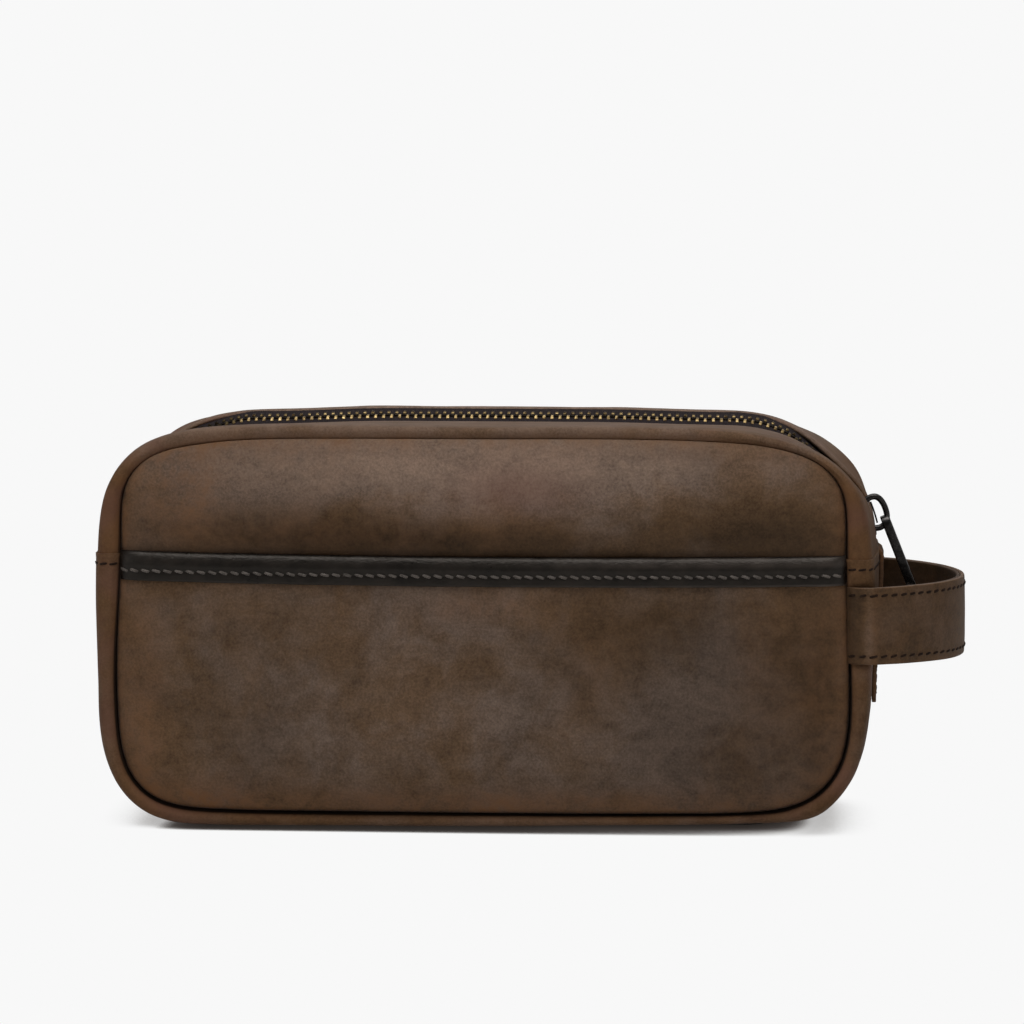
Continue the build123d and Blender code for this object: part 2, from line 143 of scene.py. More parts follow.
def resample(points, count, closed=False):
    points = np.asarray(points, float)
    if closed:
        points = np.vstack([points, points[:1]])
    lengths = arc_length(points)
    return point_at(points, lengths, np.linspace(0, lengths[-1], count, endpoint=not closed))


def smooth_closed(points, times):
    for _ in range(times):
        points = 0.5 * points + 0.25 * (np.roll(points, 1, 0) + np.roll(points, -1, 0))
    return points


def in_space(outline, y):
    """(x, z) points placed at depth y."""
    return np.stack([outline[:, 0], np.broadcast_to(y, len(outline)), outline[:, 1]], 1)


def fbm(points, size, octaves, seed):
    """Smooth repeatable noise at mm coordinates, about -1 to 1."""
    values = np.zeros(len(points))
    for i, point in enumerate(points):
        place = Vector(point) / size + Vector((seed, seed * 0.7, -seed))
        total, weight = 0.0, 1.0
        for _ in range(octaves):
            total += weight * noise.noise(place)
            place = place * 2.03
            weight *= 0.5
        values[i] = total
    return values


def rounded_rect(width, height, radius, corner_steps=4, long_steps=1):
    """Closed profile, width along the first axis; long_steps divides the long sides."""
    right, top = width / 2 - radius, height / 2 - radius
    corners = ((right, top, 0), (-right, top, 90), (-right, -top, 180), (right, -top, 270))
    points = []
    for x, y, start in corners:
        for k in range(corner_steps + 1):
            angle = math.radians(start + 90 * k / corner_steps)
            points.append((x + radius * math.cos(angle), y + radius * math.sin(angle)))
    profile = []
    for i, here in enumerate(points):
        after = points[(i + 1) % len(points)]
        profile.append(here)
        if abs(here[1] - after[1]) > height / 2:
            for k in range(1, long_steps):
                profile.append(tuple(a + (b - a) * k / long_steps for a, b in zip(here, after)))
    return np.array(profile)


# ---- meshes


def grid_faces(rows, columns, close_columns=False):
    faces = []
    for a in range(rows - 1):
        for c in range(columns if close_columns else columns - 1):
            b, d = a + 1, (c + 1) % columns
            faces.append((a * columns + c, b * columns + c, b * columns + d, a * columns + d))
    return faces


def tube_faces(rings, around):
    """Faces of a tube made of closed rings, with a cap at each end."""
    last = (rings - 1) * around
    return grid_faces(rings, around, close_columns=True) + [
        tuple(range(around)), tuple(last + j for j in reversed(range(around)))]


def make_mesh(name, points, faces, material, smooth=True, attrs=None, weld=False):
    """Object from mm coordinates, which 'rest' keeps for the materials to read."""
    points = np.asarray(points, float)
    mesh = bpy.data.meshes.new(name)
    mesh.from_pydata((points * 0.001).tolist(), [], [list(map(int, face)) for face in faces])
    mesh.validate(clean_customdata=False)
    obj = bpy.data.objects.new(name, mesh)
    scene.collection.objects.link(obj)
    mesh.materials.append(material)
    rest = mesh.attributes.new("rest", "FLOAT_VECTOR", "POINT")
    rest.data.foreach_set("vector", np.asarray(points, np.float32).ravel())
    for key, values in (attrs or {}).items():
        layer = mesh.attributes.new(key, "FLOAT", "POINT")
        layer.data.foreach_set("value", np.asarray(values, np.float32))
    shade(obj, smooth)
    mesh.update()
    work = bmesh.new()
    work.from_mesh(mesh)
    if weld:
        bmesh.ops.remove_doubles(work, verts=work.verts, dist=1e-6)
    bmesh.ops.recalc_face_normals(work, faces=work.faces)
    work.to_mesh(mesh)
    work.free()
    return obj


def shade(obj, smooth):
    obj.data.polygons.foreach_set("use_smooth", [smooth] * len(obj.data.polygons))


def coords(mesh):
    """Vertex places in mm."""
    flat = np.zeros(len(mesh.vertices) * 3)
    mesh.vertices.foreach_get("co", flat)
    return flat.reshape(-1, 3) * 1000


def face_y(mesh, face, side):
    """Flips the mesh unless this face looks toward the given side of y."""
    if (face.normal[1] > 0) != (side > 0):
        mesh.flip_normals()


def face_away(obj, away=True):
    """Turns the faces away from the bag's middle, or toward it."""
    middle = np.array([0, 0, 0.07])
    total = sum((np.array(face.center) - middle).dot(np.array(face.normal))
                for face in obj.data.polygons)
    if (total < 0) == away:
        obj.data.flip_normals()


def apply_modifiers(obj):
    bpy.context.view_layer.update()
    deps = bpy.context.evaluated_depsgraph_get()
    mesh = bpy.data.meshes.new_from_object(
        obj.evaluated_get(deps), preserve_all_data_layers=True, depsgraph=deps)
    obj.modifiers.clear()
    obj.data = mesh


def add_bevel(obj, width, segments, angle):
    bevel = obj.modifiers.new("edge", "BEVEL")
    bevel.width = width * 0.001
    bevel.segments = segments
    bevel.limit_method = "ANGLE"
    bevel.angle_limit = math.radians(angle)


def thicken(obj, thickness, bevel=0.0, offset=-1.0):
    solid = obj.modifiers.new("thick", "SOLIDIFY")
    solid.thickness = thickness * 0.001
    solid.offset = offset
    solid.use_even_offset = False
    if bevel:
        add_bevel(obj, bevel, segments=2, angle=50)
    apply_modifiers(obj)


def register(obj, slot, *nodes, ride=None):
    """Hides the frame's pieces that the object stands for and hangs it on the body that carries
    it; slot is not used.
    """
    if nodes:
        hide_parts(*nodes)
    if ride:
        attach(obj, ride)


def surface_tree(obj):
    return BVHTree.FromObject(obj, bpy.context.evaluated_depsgraph_get())


def ray_hit(tree, start, direction):
    """Point in mm and normal where a ray from start (mm) lands, or None."""
    hit, normal, _, _ = tree.ray_cast(Vector([c * 0.001 for c in start]), Vector(direction))
    return None if hit is None else (np.array(hit) * 1000, np.array(normal))


# ---- materials; texture sizes are in mm, bump distances in metres


class Shader:
    """A material's node tree, with short ways to add and wire nodes."""

    def __init__(self, name):
        self.material = bpy.data.materials.new(name)
        self.material.use_nodes = True
        self.tree = self.material.node_tree
        self.tree.nodes.clear()
        self.out = self.node("OutputMaterial")
        self.bsdf = self.node("BsdfPrincipled")
        self.feed(self.out.inputs[0], self.bsdf.outputs[0])

    def node(self, kind, **settings):
        node = self.tree.nodes.new("ShaderNode" + kind)
        for key, value in settings.items():
            setattr(node, key, value)
        return node

    def feed(self, socket, value):
        """Links another socket, or sets a plain value."""
        if isinstance(value, bpy.types.NodeSocket):
            self.tree.links.new(value, socket)
        else:
            socket.default_value = value

    def surface(self, values):
        for name, value in values.items():
            self.feed(self.bsdf.inputs[name], value)
        return self.material

    def rest(self):
        return self.node("Attribute", attribute_name="rest").outputs["Vector"]

    def object_mm(self):
        return self.stretch(self.node("TexCoord").outputs["Object"], (1000, 1000, 1000))

    def fac(self, name):
        return self.node("Attribute", attribute_name=name).outputs["Fac"]

    def math(self, operation, a, b=0.0, clamp=False):
        node = self.node("Math", operation=operation, use_clamp=clamp)
        self.feed(node.inputs[0], a)
        self.feed(node.inputs[1], b)
        return node.outputs[0]

    def add(self, a, b, clamp=False):
        return self.math("ADD", a, b, clamp)

    def mul(self, a, b, clamp=False):
        return self.math("MULTIPLY", a, b, clamp)

    def stretch(self, vector, factors):
        node = self.node("VectorMath", operation="MULTIPLY")
        self.feed(node.inputs[0], vector)
        node.inputs[1].default_value = factors
        return node.outputs[0]

    def noise(self, vector, size, detail=3.0, rough=0.5, distort=0.0):
        node = self.node("TexNoise")
        self.feed(node.inputs["Vector"], vector)
        node.inputs["Scale"].default_value = 1 / size
        node.inputs["Detail"].default_value = detail
        node.inputs["Roughness"].default_value = rough
        node.inputs["Distortion"].default_value = distort
        return node.outputs[0]

    def cells(self, vector, size):
        node = self.node("TexVoronoi")
        self.feed(node.inputs["Vector"], vector)
        node.inputs["Scale"].default_value = 1 / size
        return node.outputs[0]

    def wave(self, vector, scale, distort):
        node = self.node("TexWave", bands_direction="DIAGONAL")
        self.feed(node.inputs["Vector"], vector)
        node.inputs["Scale"].default_value = scale
        node.inputs["Distortion"].default_value = distort
        return node.outputs[1]

    def ramp(self, factor, stops):
        node = self.node("ValToRGB")
        elements = node.color_ramp.elements
        while len(elements) < len(stops):
            elements.new(0.5)
        for element, (position, color) in zip(elements, stops):
            element.position = position
            element.color = (*color, 1.0)
        self.feed(node.inputs[0], factor)
        return node.outputs[0]

    def remap(self, value, span, to):
        node = self.node("MapRange")
        self.feed(node.inputs[0], value)
        for i, limit in enumerate((*span, *to)):
            node.inputs[i + 1].default_value = limit
        return node.outputs[0]

    def mix(self, factor, a, b, mode="MIX"):
        node = self.node("Mix", data_type="RGBA", blend_type=mode)
        self.feed(node.inputs[0], factor)
        for index, color in ((6, a), (7, b)):
            self.feed(node.inputs[index], (*color, 1.0) if isinstance(color, tuple) else color)
        return node.outputs[2]

    def bump(self, height, strength, distance):
        node = self.node("Bump")
        node.inputs["Strength"].default_value = strength
        node.inputs["Distance"].default_value = distance
        self.feed(node.inputs["Height"], height)
        return node.outputs[0]


def leather_material(name, gain, specular=0.17, evenness=0.1, extra_wear=0.0):
    """Oiled leather: grey-brown clouds over warm brown, fine nap, scuffs, warm worn edges; the
    'lum' and 'dark' attributes also carry painted light and shade, and a painted grey sheen.
    """
    mat = Shader(name)

    def tint(*color):
        return tuple(channel * gain for channel in color)

    rest = mat.rest()
    big = mat.noise(rest, size=46, detail=4, rough=0.55, distort=0.9)
    mid = mat.noise(rest, size=13, detail=4, rough=0.6, distort=0.5)
    small = mat.noise(rest, size=3.4, rough=0.6, distort=0.2)
    nap = mat.noise(rest, size=0.85, rough=0.7)
    fleck = mat.noise(rest, size=0.5, detail=2, rough=0.6)
    streak = mat.noise(mat.stretch(rest, (0.35, 1.0, 1.6)), size=5, rough=0.6, distort=0.4)
    # how much grey lies over the warm brown: the leather's random grey clouds and the 'haze'
    # patch, plus a painted grey sheen where lum is positive
    cloud = mat.add(mat.mul(big, 0.62), mat.mul(mid, 0.38))
    # lum mixes the leather's own lighter and darker patches with painted light and shade
    lum = mat.fac("lum")
    cool = mat.add(mat.remap(cloud, span=(0.42, 0.60), to=(0.05, 0.85)), mat.mul(lum, 1.1))
    cool = mat.add(cool, mat.fac("haze"), clamp=True)
    base = mat.mix(cool, tint(0.1015, 0.0572, 0.0288), tint(0.106, 0.0742, 0.0560))
    # light and dark mottling
    tone = mat.add(mat.remap(mid, span=(0.35, 0.65), to=(0.84, 1.16)),
                   mat.remap(small, span=(0.35, 0.65), to=(-0.08, 0.08)))
    tone = mat.add(tone, mat.remap(nap, span=(0.36, 0.64), to=(-0.20, 0.20)))
    tone = mat.add(tone, mat.mul(mat.math("SUBTRACT", fleck, 0.58, clamp=True), 1.5))
    tone = mat.add(tone, mat.remap(streak, span=(0.38, 0.62), to=(-0.07, 0.07)))
    tone = mat.mul(tone, mat.add(1.0, lum))
    grey = mat.node("CombineColor")
    for channel in range(3):
        mat.feed(grey.inputs[channel], tone)
    color = mat.mix(1.0, base, grey.outputs[0], "MULTIPLY")
    # warm worn leather where it folds and rubs
    warm = mat.fac("warm")
    patches = mat.remap(mat.add(mat.mul(mid, 0.6), mat.mul(small, 0.4)),
                        span=(0.36, 0.66), to=(evenness, 1.15 - 0.3 * evenness))
    wear = mat.mul(mat.add(warm, extra_wear), patches, clamp=True)
    color = mat.mix(wear, color, tint(0.160, 0.076, 0.034))
    red = mat.fac("red")
    color = mat.mix(mat.mul(red, 0.55, clamp=True), color, tint(0.150, 0.072, 0.052))
    # dark is painted shade: in the seam valleys, under the pocket's binding and at the strap's
    # roots
    dark = mat.fac("dark")
    color = mat.mix(mat.mul(dark, 0.9, clamp=True), color, (0.014, 0.008, 0.005))
    rough = mat.add(mat.remap(cloud, span=(0.4, 0.65), to=(0.50, 0.64)),
                    mat.remap(nap, span=(0.2, 0.8), to=(-0.07, 0.07)))
    rough = mat.add(rough, mat.mul(warm, 0.22), clamp=True)
    height = mat.add(mat.mul(mat.cells(rest, size=0.95), 0.35), mat.mul(nap, 0.65))
    height = mat.add(height, mat.mul(small, 1.2))
    height = mat.add(height, mat.mul(mid, 1.0))
    return mat.surface({
        "Base Color": color,
        "Roughness": rough,
        "Specular IOR Level": specular,
        "Specular Tint": (1.0, 0.88, 0.76, 1),
        "Sheen Weight": 0.025,
        "Sheen Roughness": 0.45,
        "Sheen Tint": (0.95, 0.86, 0.78, 1),
        "Normal": mat.bump(height, strength=0.42, distance=0.00022)})


def black_leather():
    mat = Shader("black_leather")
    rest = mat.rest()
    grain = mat.cells(rest, size=0.7)
    mid = mat.noise(rest, size=9, rough=0.6, distort=0.4)
    fine = mat.noise(mat.stretch(rest, (0.5, 1, 1)), size=0.9, rough=0.6)
    color = mat.mix(mat.remap(mid, span=(0.35, 0.7), to=(0, 1)),
                    (0.0032, 0.0025, 0.0020), (0.0135, 0.0102, 0.0080))
    # the 'warm' attribute here lightens the lower edge and paints a highlight along the outer top
    color = mat.mix(mat.mul(mat.fac("warm"), 0.6, clamp=True), color, (0.070, 0.055, 0.046))
    rough = mat.add(mat.remap(mid, span=(0.3, 0.7), to=(0.30, 0.38)),
                    mat.remap(fine, span=(0.3, 0.7), to=(-0.06, 0.06)))
    height = mat.add(mat.mul(grain, 0.5), mat.add(fine, mat.mul(mid, 1.5)))
    return mat.surface({
        "Base Color": color,
        "Roughness": rough,
        "Specular IOR Level": 0.30,
        "Specular Tint": (1.0, 0.91, 0.82, 1),
        "Normal": mat.bump(height, strength=0.60, distance=0.00018)})


def thread_material(name, dark, light, specular=0.3):
    mat = Shader(name)
    rest = mat.rest()
    twist = mat.wave(rest, scale=1.5, distort=1.5)
    patch = mat.noise(rest, size=2.5, detail=2)
    share = mat.mul(twist, mat.remap(patch, span=(0.3, 0.7), to=(0.5, 1.2)), clamp=True)
    return mat.surface({
        "Base Color": mat.mix(share, dark, light),
        "Roughness": 0.62,
        "Specular IOR Level": specular,
        "Normal": mat.bump(twist, strength=0.6, distance=0.00012)})


def tape_material():
    """Herringbone cloth: the slant of the ribs flips from one column to the next."""
    mat = Shader("zip_tape_cloth")
    rest = mat.rest()
    path = mat.fac("along")
    column = mat.math("PINGPONG", mat.fac("across"), 1.3)     # column width
    slant, rib_rate = 0.9, 7.4
    rib = mat.math("SINE", mat.mul(mat.add(path, mat.mul(column, slant)), rib_rate))
    patch = mat.noise(rest, size=4, rough=0.6)
    share = mat.mul(mat.remap(rib, span=(-1, 1), to=(0, 1)),
                    mat.remap(patch, span=(0.3, 0.7), to=(0.7, 1.15)), clamp=True)
    return mat.surface({
        "Base Color": mat.mix(share, (0.008, 0.005, 0.006), (0.032, 0.021, 0.022)),
        "Roughness": 0.85,
        "Specular IOR Level": 0.15,
        "Normal": mat.bump(rib, strength=0.5, distance=0.00018)})


def lining_material():
    mat = Shader("lining_twill")
    rest = mat.rest()
    twill = mat.wave(rest, scale=0.55, distort=0.6)
    patch = mat.noise(rest, size=22, rough=0.6)
    fine = mat.noise(rest, size=0.9, detail=2)
    color = mat.mix(twill, (0.060, 0.045, 0.034), (0.115, 0.088, 0.064))
    shading = mat.mix(mat.remap(patch, span=(0.3, 0.7), to=(0, 1)),
                      (0.82, 0.82, 0.82), (1.15, 1.12, 1.08))
    height = mat.add(twill, mat.mul(fine, 0.6))
    return mat.surface({
        "Base Color": mat.mix(1.0, color, shading, "MULTIPLY"),
        "Roughness": 0.86,
        "Sheen Weight": 0.3,
        "Normal": mat.bump(height, strength=0.5, distance=0.00022)})


def metal_material(name, dark, light, rough, scratch=0.4, paint_shade=False, own_coords=False):
    """rough: of the light and of the dark patches."""
    mat = Shader(name)
    place = mat.object_mm() if own_coords else mat.rest()
    patch = mat.noise(place, size=2.2, detail=4, rough=0.65, distort=0.4)
    fine = mat.noise(mat.stretch(place, (1.0, 1.0, 4.0)), size=0.35, rough=0.6)
    color = mat.mix(mat.remap(patch, span=(0.36, 0.66), to=(0, 1)), dark, light)
    roughness = mat.add(mat.remap(patch, span=(0.3, 0.7), to=(rough[1], rough[0])),
                        mat.remap(fine, span=(0.3, 0.7), to=(-0.04, 0.04)))
    if paint_shade:                                   # painted shade: darker, rougher metal where the 'shade' attribute marks it
        painted_shade = mat.fac("shade")
        color = mat.mix(painted_shade, color, (0.010, 0.006, 0.003))
        roughness = mat.add(roughness, mat.mul(painted_shade, 0.4))
    return mat.surface({
        "Base Color": color,
        "Metallic": 1.0,
        "Roughness": roughness,
        "Normal": mat.bump(mat.add(patch, fine), strength=scratch, distance=0.00006)})


def board_material():
    mat = Shader("board_fibre")
    fibre = mat.noise(mat.object_mm(), size=1.5, detail=4, rough=0.7)
    return mat.surface({
        "Base Color": mat.mix(mat.remap(fibre, span=(0.3, 0.7), to=(0, 1)),
                              (0.03, 0.03, 0.03), (0.08, 0.075, 0.07)),
        "Roughness": 0.85,
        "Normal": mat.bump(fibre, strength=0.4, distance=0.0002)})


LEATHER = leather_material("brown_leather", gain=1.05)
# darker copy of the brown leather: painted shade for the loop's inner face
SHADED_LEATHER = leather_material("brown_leather_edge", gain=0.50)
ROLL = leather_material("brown_leather_gusset", gain=1.04, specular=0.07, evenness=0.5)
BLACK = black_leather()
THREAD_GREY = thread_material(
    "grey_thread", dark=(0.030, 0.024, 0.020), light=(0.215, 0.185, 0.160))
THREAD_BROWN = thread_material(
    "brown_thread", dark=(0.0085, 0.0036, 0.0015), light=(0.034, 0.0160, 0.0080), specular=0.12)
TAPE = tape_material()
LINING = lining_material()
BRASS = metal_material(
    "antique_brass", dark=(0.050, 0.030, 0.013), light=(0.40, 0.285, 0.13), rough=(0.22, 0.38),
    scratch=0.3, paint_shade=True)
GUN = metal_material(
    "gunmetal", dark=(0.030, 0.028, 0.027), light=(0.090, 0.084, 0.080), rough=(0.20, 0.34))
STEEL = metal_material(
    "spring_steel", dark=(0.020, 0.019, 0.018), light=(0.055, 0.052, 0.050),
    rough=(0.32, 0.45), own_coords=True)
BOARD = board_material()

# ---- outlines seen from the front, (x, z), clockwise from the top middle

SEAM_ANCHORS = [            # where the panels meet the gusset
    (0, 137.9), (30, 138.1), (60, 138.0), (80, 137.4), (95.3, 136.3), (107.3, 133.9),
    (116.0, 130.3), (121.4, 125.8), (124.5, 120.5), (125.8, 113.0), (126.0, 100), (126.4, 88),
    (127.1, 70), (127.6, 52), (127.5, 42), (126.8, 35), (125.0, 27), (121.3, 20), (115.2, 14.2),
    (106.3, 10.3), (91.7, 8.4), (60, 7.6), (0, 7.1), (-46.8, 7.1), (-89.3, 7.2), (-105.5, 8.1),
    (-113.8, 10.2), (-120.2, 14.4), (-124.6, 20.3), (-127.3, 29.0), (-128.5, 42), (-128.8, 55),
    (-128.5, 67), (-127.6, 85), (-126.9, 98), (-126.6, 110), (-125.9, 118.5), (-123.0, 125.3),
    (-118.2, 129.9), (-111.2, 133.2), (-100.5, 135.3), (-90.7, 136.6), (-78, 137.4),
    (-51.4, 137.8), (-20, 137.9)]
CREST_ANCHORS = [           # the far side of the gusset's rolled edge
    (0, 142.4), (40, 142.6), (70, 142.2), (85, 141.4), (97, 140), (107.3, 137.4), (115.4, 134.2),
    (121.8, 130.1), (127.2, 125.2), (130.8, 120.0), (133.4, 113.5), (134.7, 106), (135.4, 97),
    (135.9, 88), (135.7, 70), (135.2, 55), (134.8, 45), (133.4, 37), (131.6, 28.5),
    (128.1, 19.6), (123.2, 12.8), (117.2, 7.2), (108.5, 5.2), (97, 4.2), (80, 3.5), (45.7, 2.7),
    (0, 1.9), (-40, 1.4), (-75.9, 1.1), (-101.5, 1.5), (-111.9, 3.3), (-119.5, 6.6),
    (-125.8, 12.2), (-129.8, 18.6), (-132.4, 26.2), (-134.5, 35.5), (-135.8, 48.7),
    (-136.3, 70.4), (-136.1, 86), (-135.7, 97), (-135.1, 108), (-134.0, 115), (-132.0, 121.6),
    (-128.7, 126.9), (-124.1, 132), (-118.7, 135.7), (-112.3, 138.3), (-104, 140.2),
    (-91, 141.6), (-75, 142.2), (-40, 142.5)]
MID_LOW = [                 # right half of the middle outline, below the zip
    (137.4, 88), (136.5, 75), (135.8, 60), (135.3, 45), (134.6, 36), (132.8, 26), (129.0, 16.5),
    (123.3, 9.3), (116, 4.2), (107, 1.4), (96, 0.35), (70, 0.0), (30, 0.0), (0, 0)]
# samples from the top to the right hem, right low corner, bottom, and up the left side
SPAN_COUNTS = [88, 32, 90, 90, 32, 88]
SAMPLES = sum(SPAN_COUNTS)
HEM_R, HEM_L = SPAN_COUNTS[0], sum(SPAN_COUNTS[:5])
HEM_CUT_Z, LOW_CUT_Z = 97.0, 40.0

# rows of (degrees round a top corner, value)
SHIFT_RIGHT = ([3, 10, 17, 25, 34, 42, 52, 64, 74, 82, 90],
               [-0.6, 0.1, 0.9, 1.3, -0.1, -1.4, -1.2, -0.3, -0.4, -0.7, -0.8])
SHIFT_LEFT = ([10, 40, 55, 63, 73, 82, 90], [0.0, 0.3, 0.7, 0.1, -0.9, -1.3, -1.3])
SAG_RIGHT = ([0, 20, 32, 42, 52, 62, 72, 90], [0, 0.02, 0.10, 0.24, 0.44, 0.72, 0.92, 1.0])
SAG_LEFT = ([0, 8, 16, 25, 35, 45, 65, 90], [0, 0.05, 0.2, 0.46, 0.68, 0.82, 0.95, 1.0])
SINK_RIGHT = ([25, 34, 58, 76], [0.0, 1.2, 1.2, 0.0])
SINK_LEFT = ([20, 34, 68, 84], [0.0, 1.2, 1.1, 0.0])


def by_side(x, angle, right, left):
    return np.where(x > 0, np.interp(angle, *right), np.interp(angle, *left))


def corner_point(angle, radius):
    """(x, z) at an angle in radians round the right top corner."""
    return ZIP_CX + radius * math.cos(angle), ZIP_CZ + radius * math.sin(angle)


def sample_spans(outline):
    """Cuts a closed outline at top, hems, low corners and bottom; samples each span evenly."""
    x, z = outline.T
    top = int(np.argmin(np.where(z > 70, np.abs(x), 1e9)))
    outline = np.roll(outline, -top, 0)
    x, z = outline.T

    def nearest(mask, values, target):
        return int(np.argmin(np.where(mask, np.abs(values - target), 1e9)))

    right, left = x > 60, x < -60
    cuts = [0, nearest(right, z, HEM_CUT_Z), nearest(right, z, LOW_CUT_Z),
            nearest(z < 40, x, 0.0), nearest(left, z, LOW_CUT_Z), nearest(left, z, HEM_CUT_Z),
            len(outline)]
    outline = np.vstack([outline, outline[:1]])
    return np.vstack([resample(outline[start:end + 1], count + 1)[:-1]
                      for start, end, count in zip(cuts, cuts[1:], SPAN_COUNTS)])


def corner_shift(points, inward_only=False):
    """The top corners are not true circles, and differ left and right."""
    x, z = points.T
    dx, dz = x - np.where(x > 0, ZIP_CX, -ZIP_CX), z - ZIP_CZ
    radius = np.maximum(np.hypot(dx, dz), 1e-6)
    angle = np.degrees(np.arctan2(dz, np.abs(dx)))
    shift = by_side(x, angle, SHIFT_RIGHT, SHIFT_LEFT)
    if inward_only:
        shift = np.minimum(shift, 0)
    ramp = np.where(x > 0, -0.8, -1.3) * smoothstep(36, ZIP_CX, np.abs(x))
    arc = np.abs(x) >= ZIP_CX
    move_x = np.where(arc, dx / radius * shift, 0.0)
    move_z = np.where(arc, dz / radius * shift, ramp)
    return np.stack([move_x, move_z], 1) * (dz > 0)[:, None]


def mid_outline():
    """The gusset's middle: straight over the top, round the corners, down to the base."""
    arc = [corner_point(math.radians(a), ZIP_R) for a in np.linspace(90, 3, 60)]
    low = catmull([arc[-1], (ZIP_HALF + 0.1, 92)] + MID_LOW, 12, closed=False)
    right = [(x, TOP) for x in np.linspace(0, ZIP_CX, 30)[:-1]] + arc
    right += [tuple(point) for point in low[1:]]
    left = [(-x, z) for x, z in reversed(right)][1:-1]
    outline = np.array(right + left)
    return outline + corner_shift(outline)


def outward(outline):
    """Outward directions of a clockwise outline, to the left of travel."""
    tangent = unit(np.roll(outline, -1, 0) - np.roll(outline, 1, 0))
    return np.stack([-tangent[:, 1], tangent[:, 0]], 1)


def fuller_low_corners(outline):
    """Fills out the lower corners, the left one more than the right."""
    x, z = outline.T
    weight = (1 - np.clip((z - 28) / 22, 0, 1)) * np.clip((np.abs(x) - 95) / 23, 0, 1)
    return outline + outward(outline) * (np.where(x < 0, 1.35, 0.75) * weight)[:, None]


SEAM = smooth_closed(sample_spans(smooth_closed(catmull(SEAM_ANCHORS), 3)), 6)
CREST = smooth_closed(sample_spans(smooth_closed(catmull(CREST_ANCHORS), 3)), 6)
CREST = smooth_closed(fuller_low_corners(CREST), 4)
MID = smooth_closed(sample_spans(mid_outline()), 14)
SEAM_OUT, MID_OUT = outward(SEAM), outward(MID)


def seam_distance(x, z):
    """Distance inside the seam outline; negative outside."""
    ends = np.roll(SEAM, -1, 0)
    edges = ends - SEAM
    squares = (edges ** 2).sum(1)
    points = np.stack([x, z], 1)
    nearest, turn = np.zeros(len(points)), np.zeros(len(points))
    for start in range(0, len(points), 4000):
        block = slice(start, start + 4000)
        here = points[block][:, None]
        t = np.clip(((here - SEAM) * edges).sum(2) / squares, 0, 1)
        foot = SEAM + t[..., None] * edges
        nearest[block] = np.sqrt(((here - foot) ** 2).sum(2).min(1))
        # a full turn of the outline round the point means it is inside
        a, b = SEAM - here, ends - here
        cross = a[..., 0] * b[..., 1] - a[..., 1] * b[..., 0]
        turn[block] = np.arctan2(cross, (a * b).sum(2)).sum(1)
    return np.where(np.abs(turn) > 3.0, nearest, -nearest)


# ---- where the leather is lighter or darker, warm or grey, and where light and shade are painted

# broad areas of the front, partly the leather's own tone and partly painted light and shade,
# lightest along the top with a painted shaded band just above the binding: (x, z, radius x, radius
# z, lightness, warmth)
CLOUDS_AND_PAINTED_LIGHT = [
    (12, 131, 80, 12, 1.12, 0.0), (-66, 128, 44, 9, 0.60, 0.15), (-2, 116, 28, 14, 0.30, 0.0),
    (62, 122, 30, 9, 0.18, 0.0), (-60, 116, 40, 12, -0.02, 0.10), (-106, 118, 14, 15, 0.10, 0.75),
    (86, 116, 24, 14, -0.20, 0.0), (-60, 104, 56, 9, -0.58, 0.30), (95, 105, 34, 9, -0.44, 0.0),
    (5, 103, 40, 7, -0.46, 0.15), (48, 106, 20, 7, 0.14, 0.0), (-25, 74, 32, 13, 0.12, 0.05),
    (2, 80, 20, 6, 0.16, 0.50), (66, 72, 26, 16, -0.30, 0.0), (38, 58, 14, 20, -0.10, 0.15),
    (104, 60, 20, 26, -0.30, 0.25), (-42, 50, 40, 18, 0.12, -0.1), (-5, 38, 40, 20, 0.14, 0.0),
    (70, 36, 24, 14, -0.10, 0.0), (96, 26, 30, 16, -0.26, 0.1), (-96, 76, 26, 14, -0.04, 0.1),
    (-84, 34, 12, 16, -0.12, 0.0), (-118, 40, 8, 36, 0.08, 0.6), (0, 12, 112, 4.5, -0.02, 0.45),
    (-100, 12, 26, 8, 0.06, 0.5), (118, 46, 8, 40, -0.26, 0.20)]


def seam_valley_shade(gap, z, width, depth):
    """Painted shade in the valley beside the seam; width is (always, added low down), depth runs
    up the bag.
    """
    low = 1 - smoothstep(20, 128, z)
    return np.exp(-(gap / (width[0] + width[1] * low))) * np.interp(z, [50, 100, 122, 132], depth)


def leather_attrs(points, seam_gap, front=True):
    x, _, z = points.T
    lum, warm = np.zeros(len(points)), np.zeros(len(points))
    seen_x = x if front else -x
    for cx, cz, radius_x, radius_z, light, warmth in CLOUDS_AND_PAINTED_LIGHT:
        weight = np.exp(-(((seen_x - cx) / radius_x) ** 2 + ((z - cz) / radius_z) ** 2))
        lum += light * weight
        warm += warmth * weight
    warm += 0.75 * np.exp(-np.abs(seam_gap) / 4.5)
    # painted shade in the seam's valley
    dark = seam_valley_shade(np.maximum(seam_gap, 0), z, width=(0.27, 0.33), depth=[1.0, 0.70, 0.40, 0.05])
    red = 0.9 * np.exp(-(((x - 12) / 22) ** 2 + ((z - 121) / 9) ** 2)) * front
    haze = 0.75 * np.exp(-(((x - 80) / 36) ** 2 + ((z - 46) / 34) ** 2)) * (z < 90) * front
    return {"lum": lum, "warm": np.clip(warm, 0, 1.2), "dark": np.clip(dark, 0, 1),
            "red": red, "haze": haze}


# ---- soft panels: cloth under a little pressure

CELL = 5.0                              # of the simulated grid
GRID_X = np.arange(-135, 136, CELL)
GRID_Z = np.arange(0, 146, CELL)


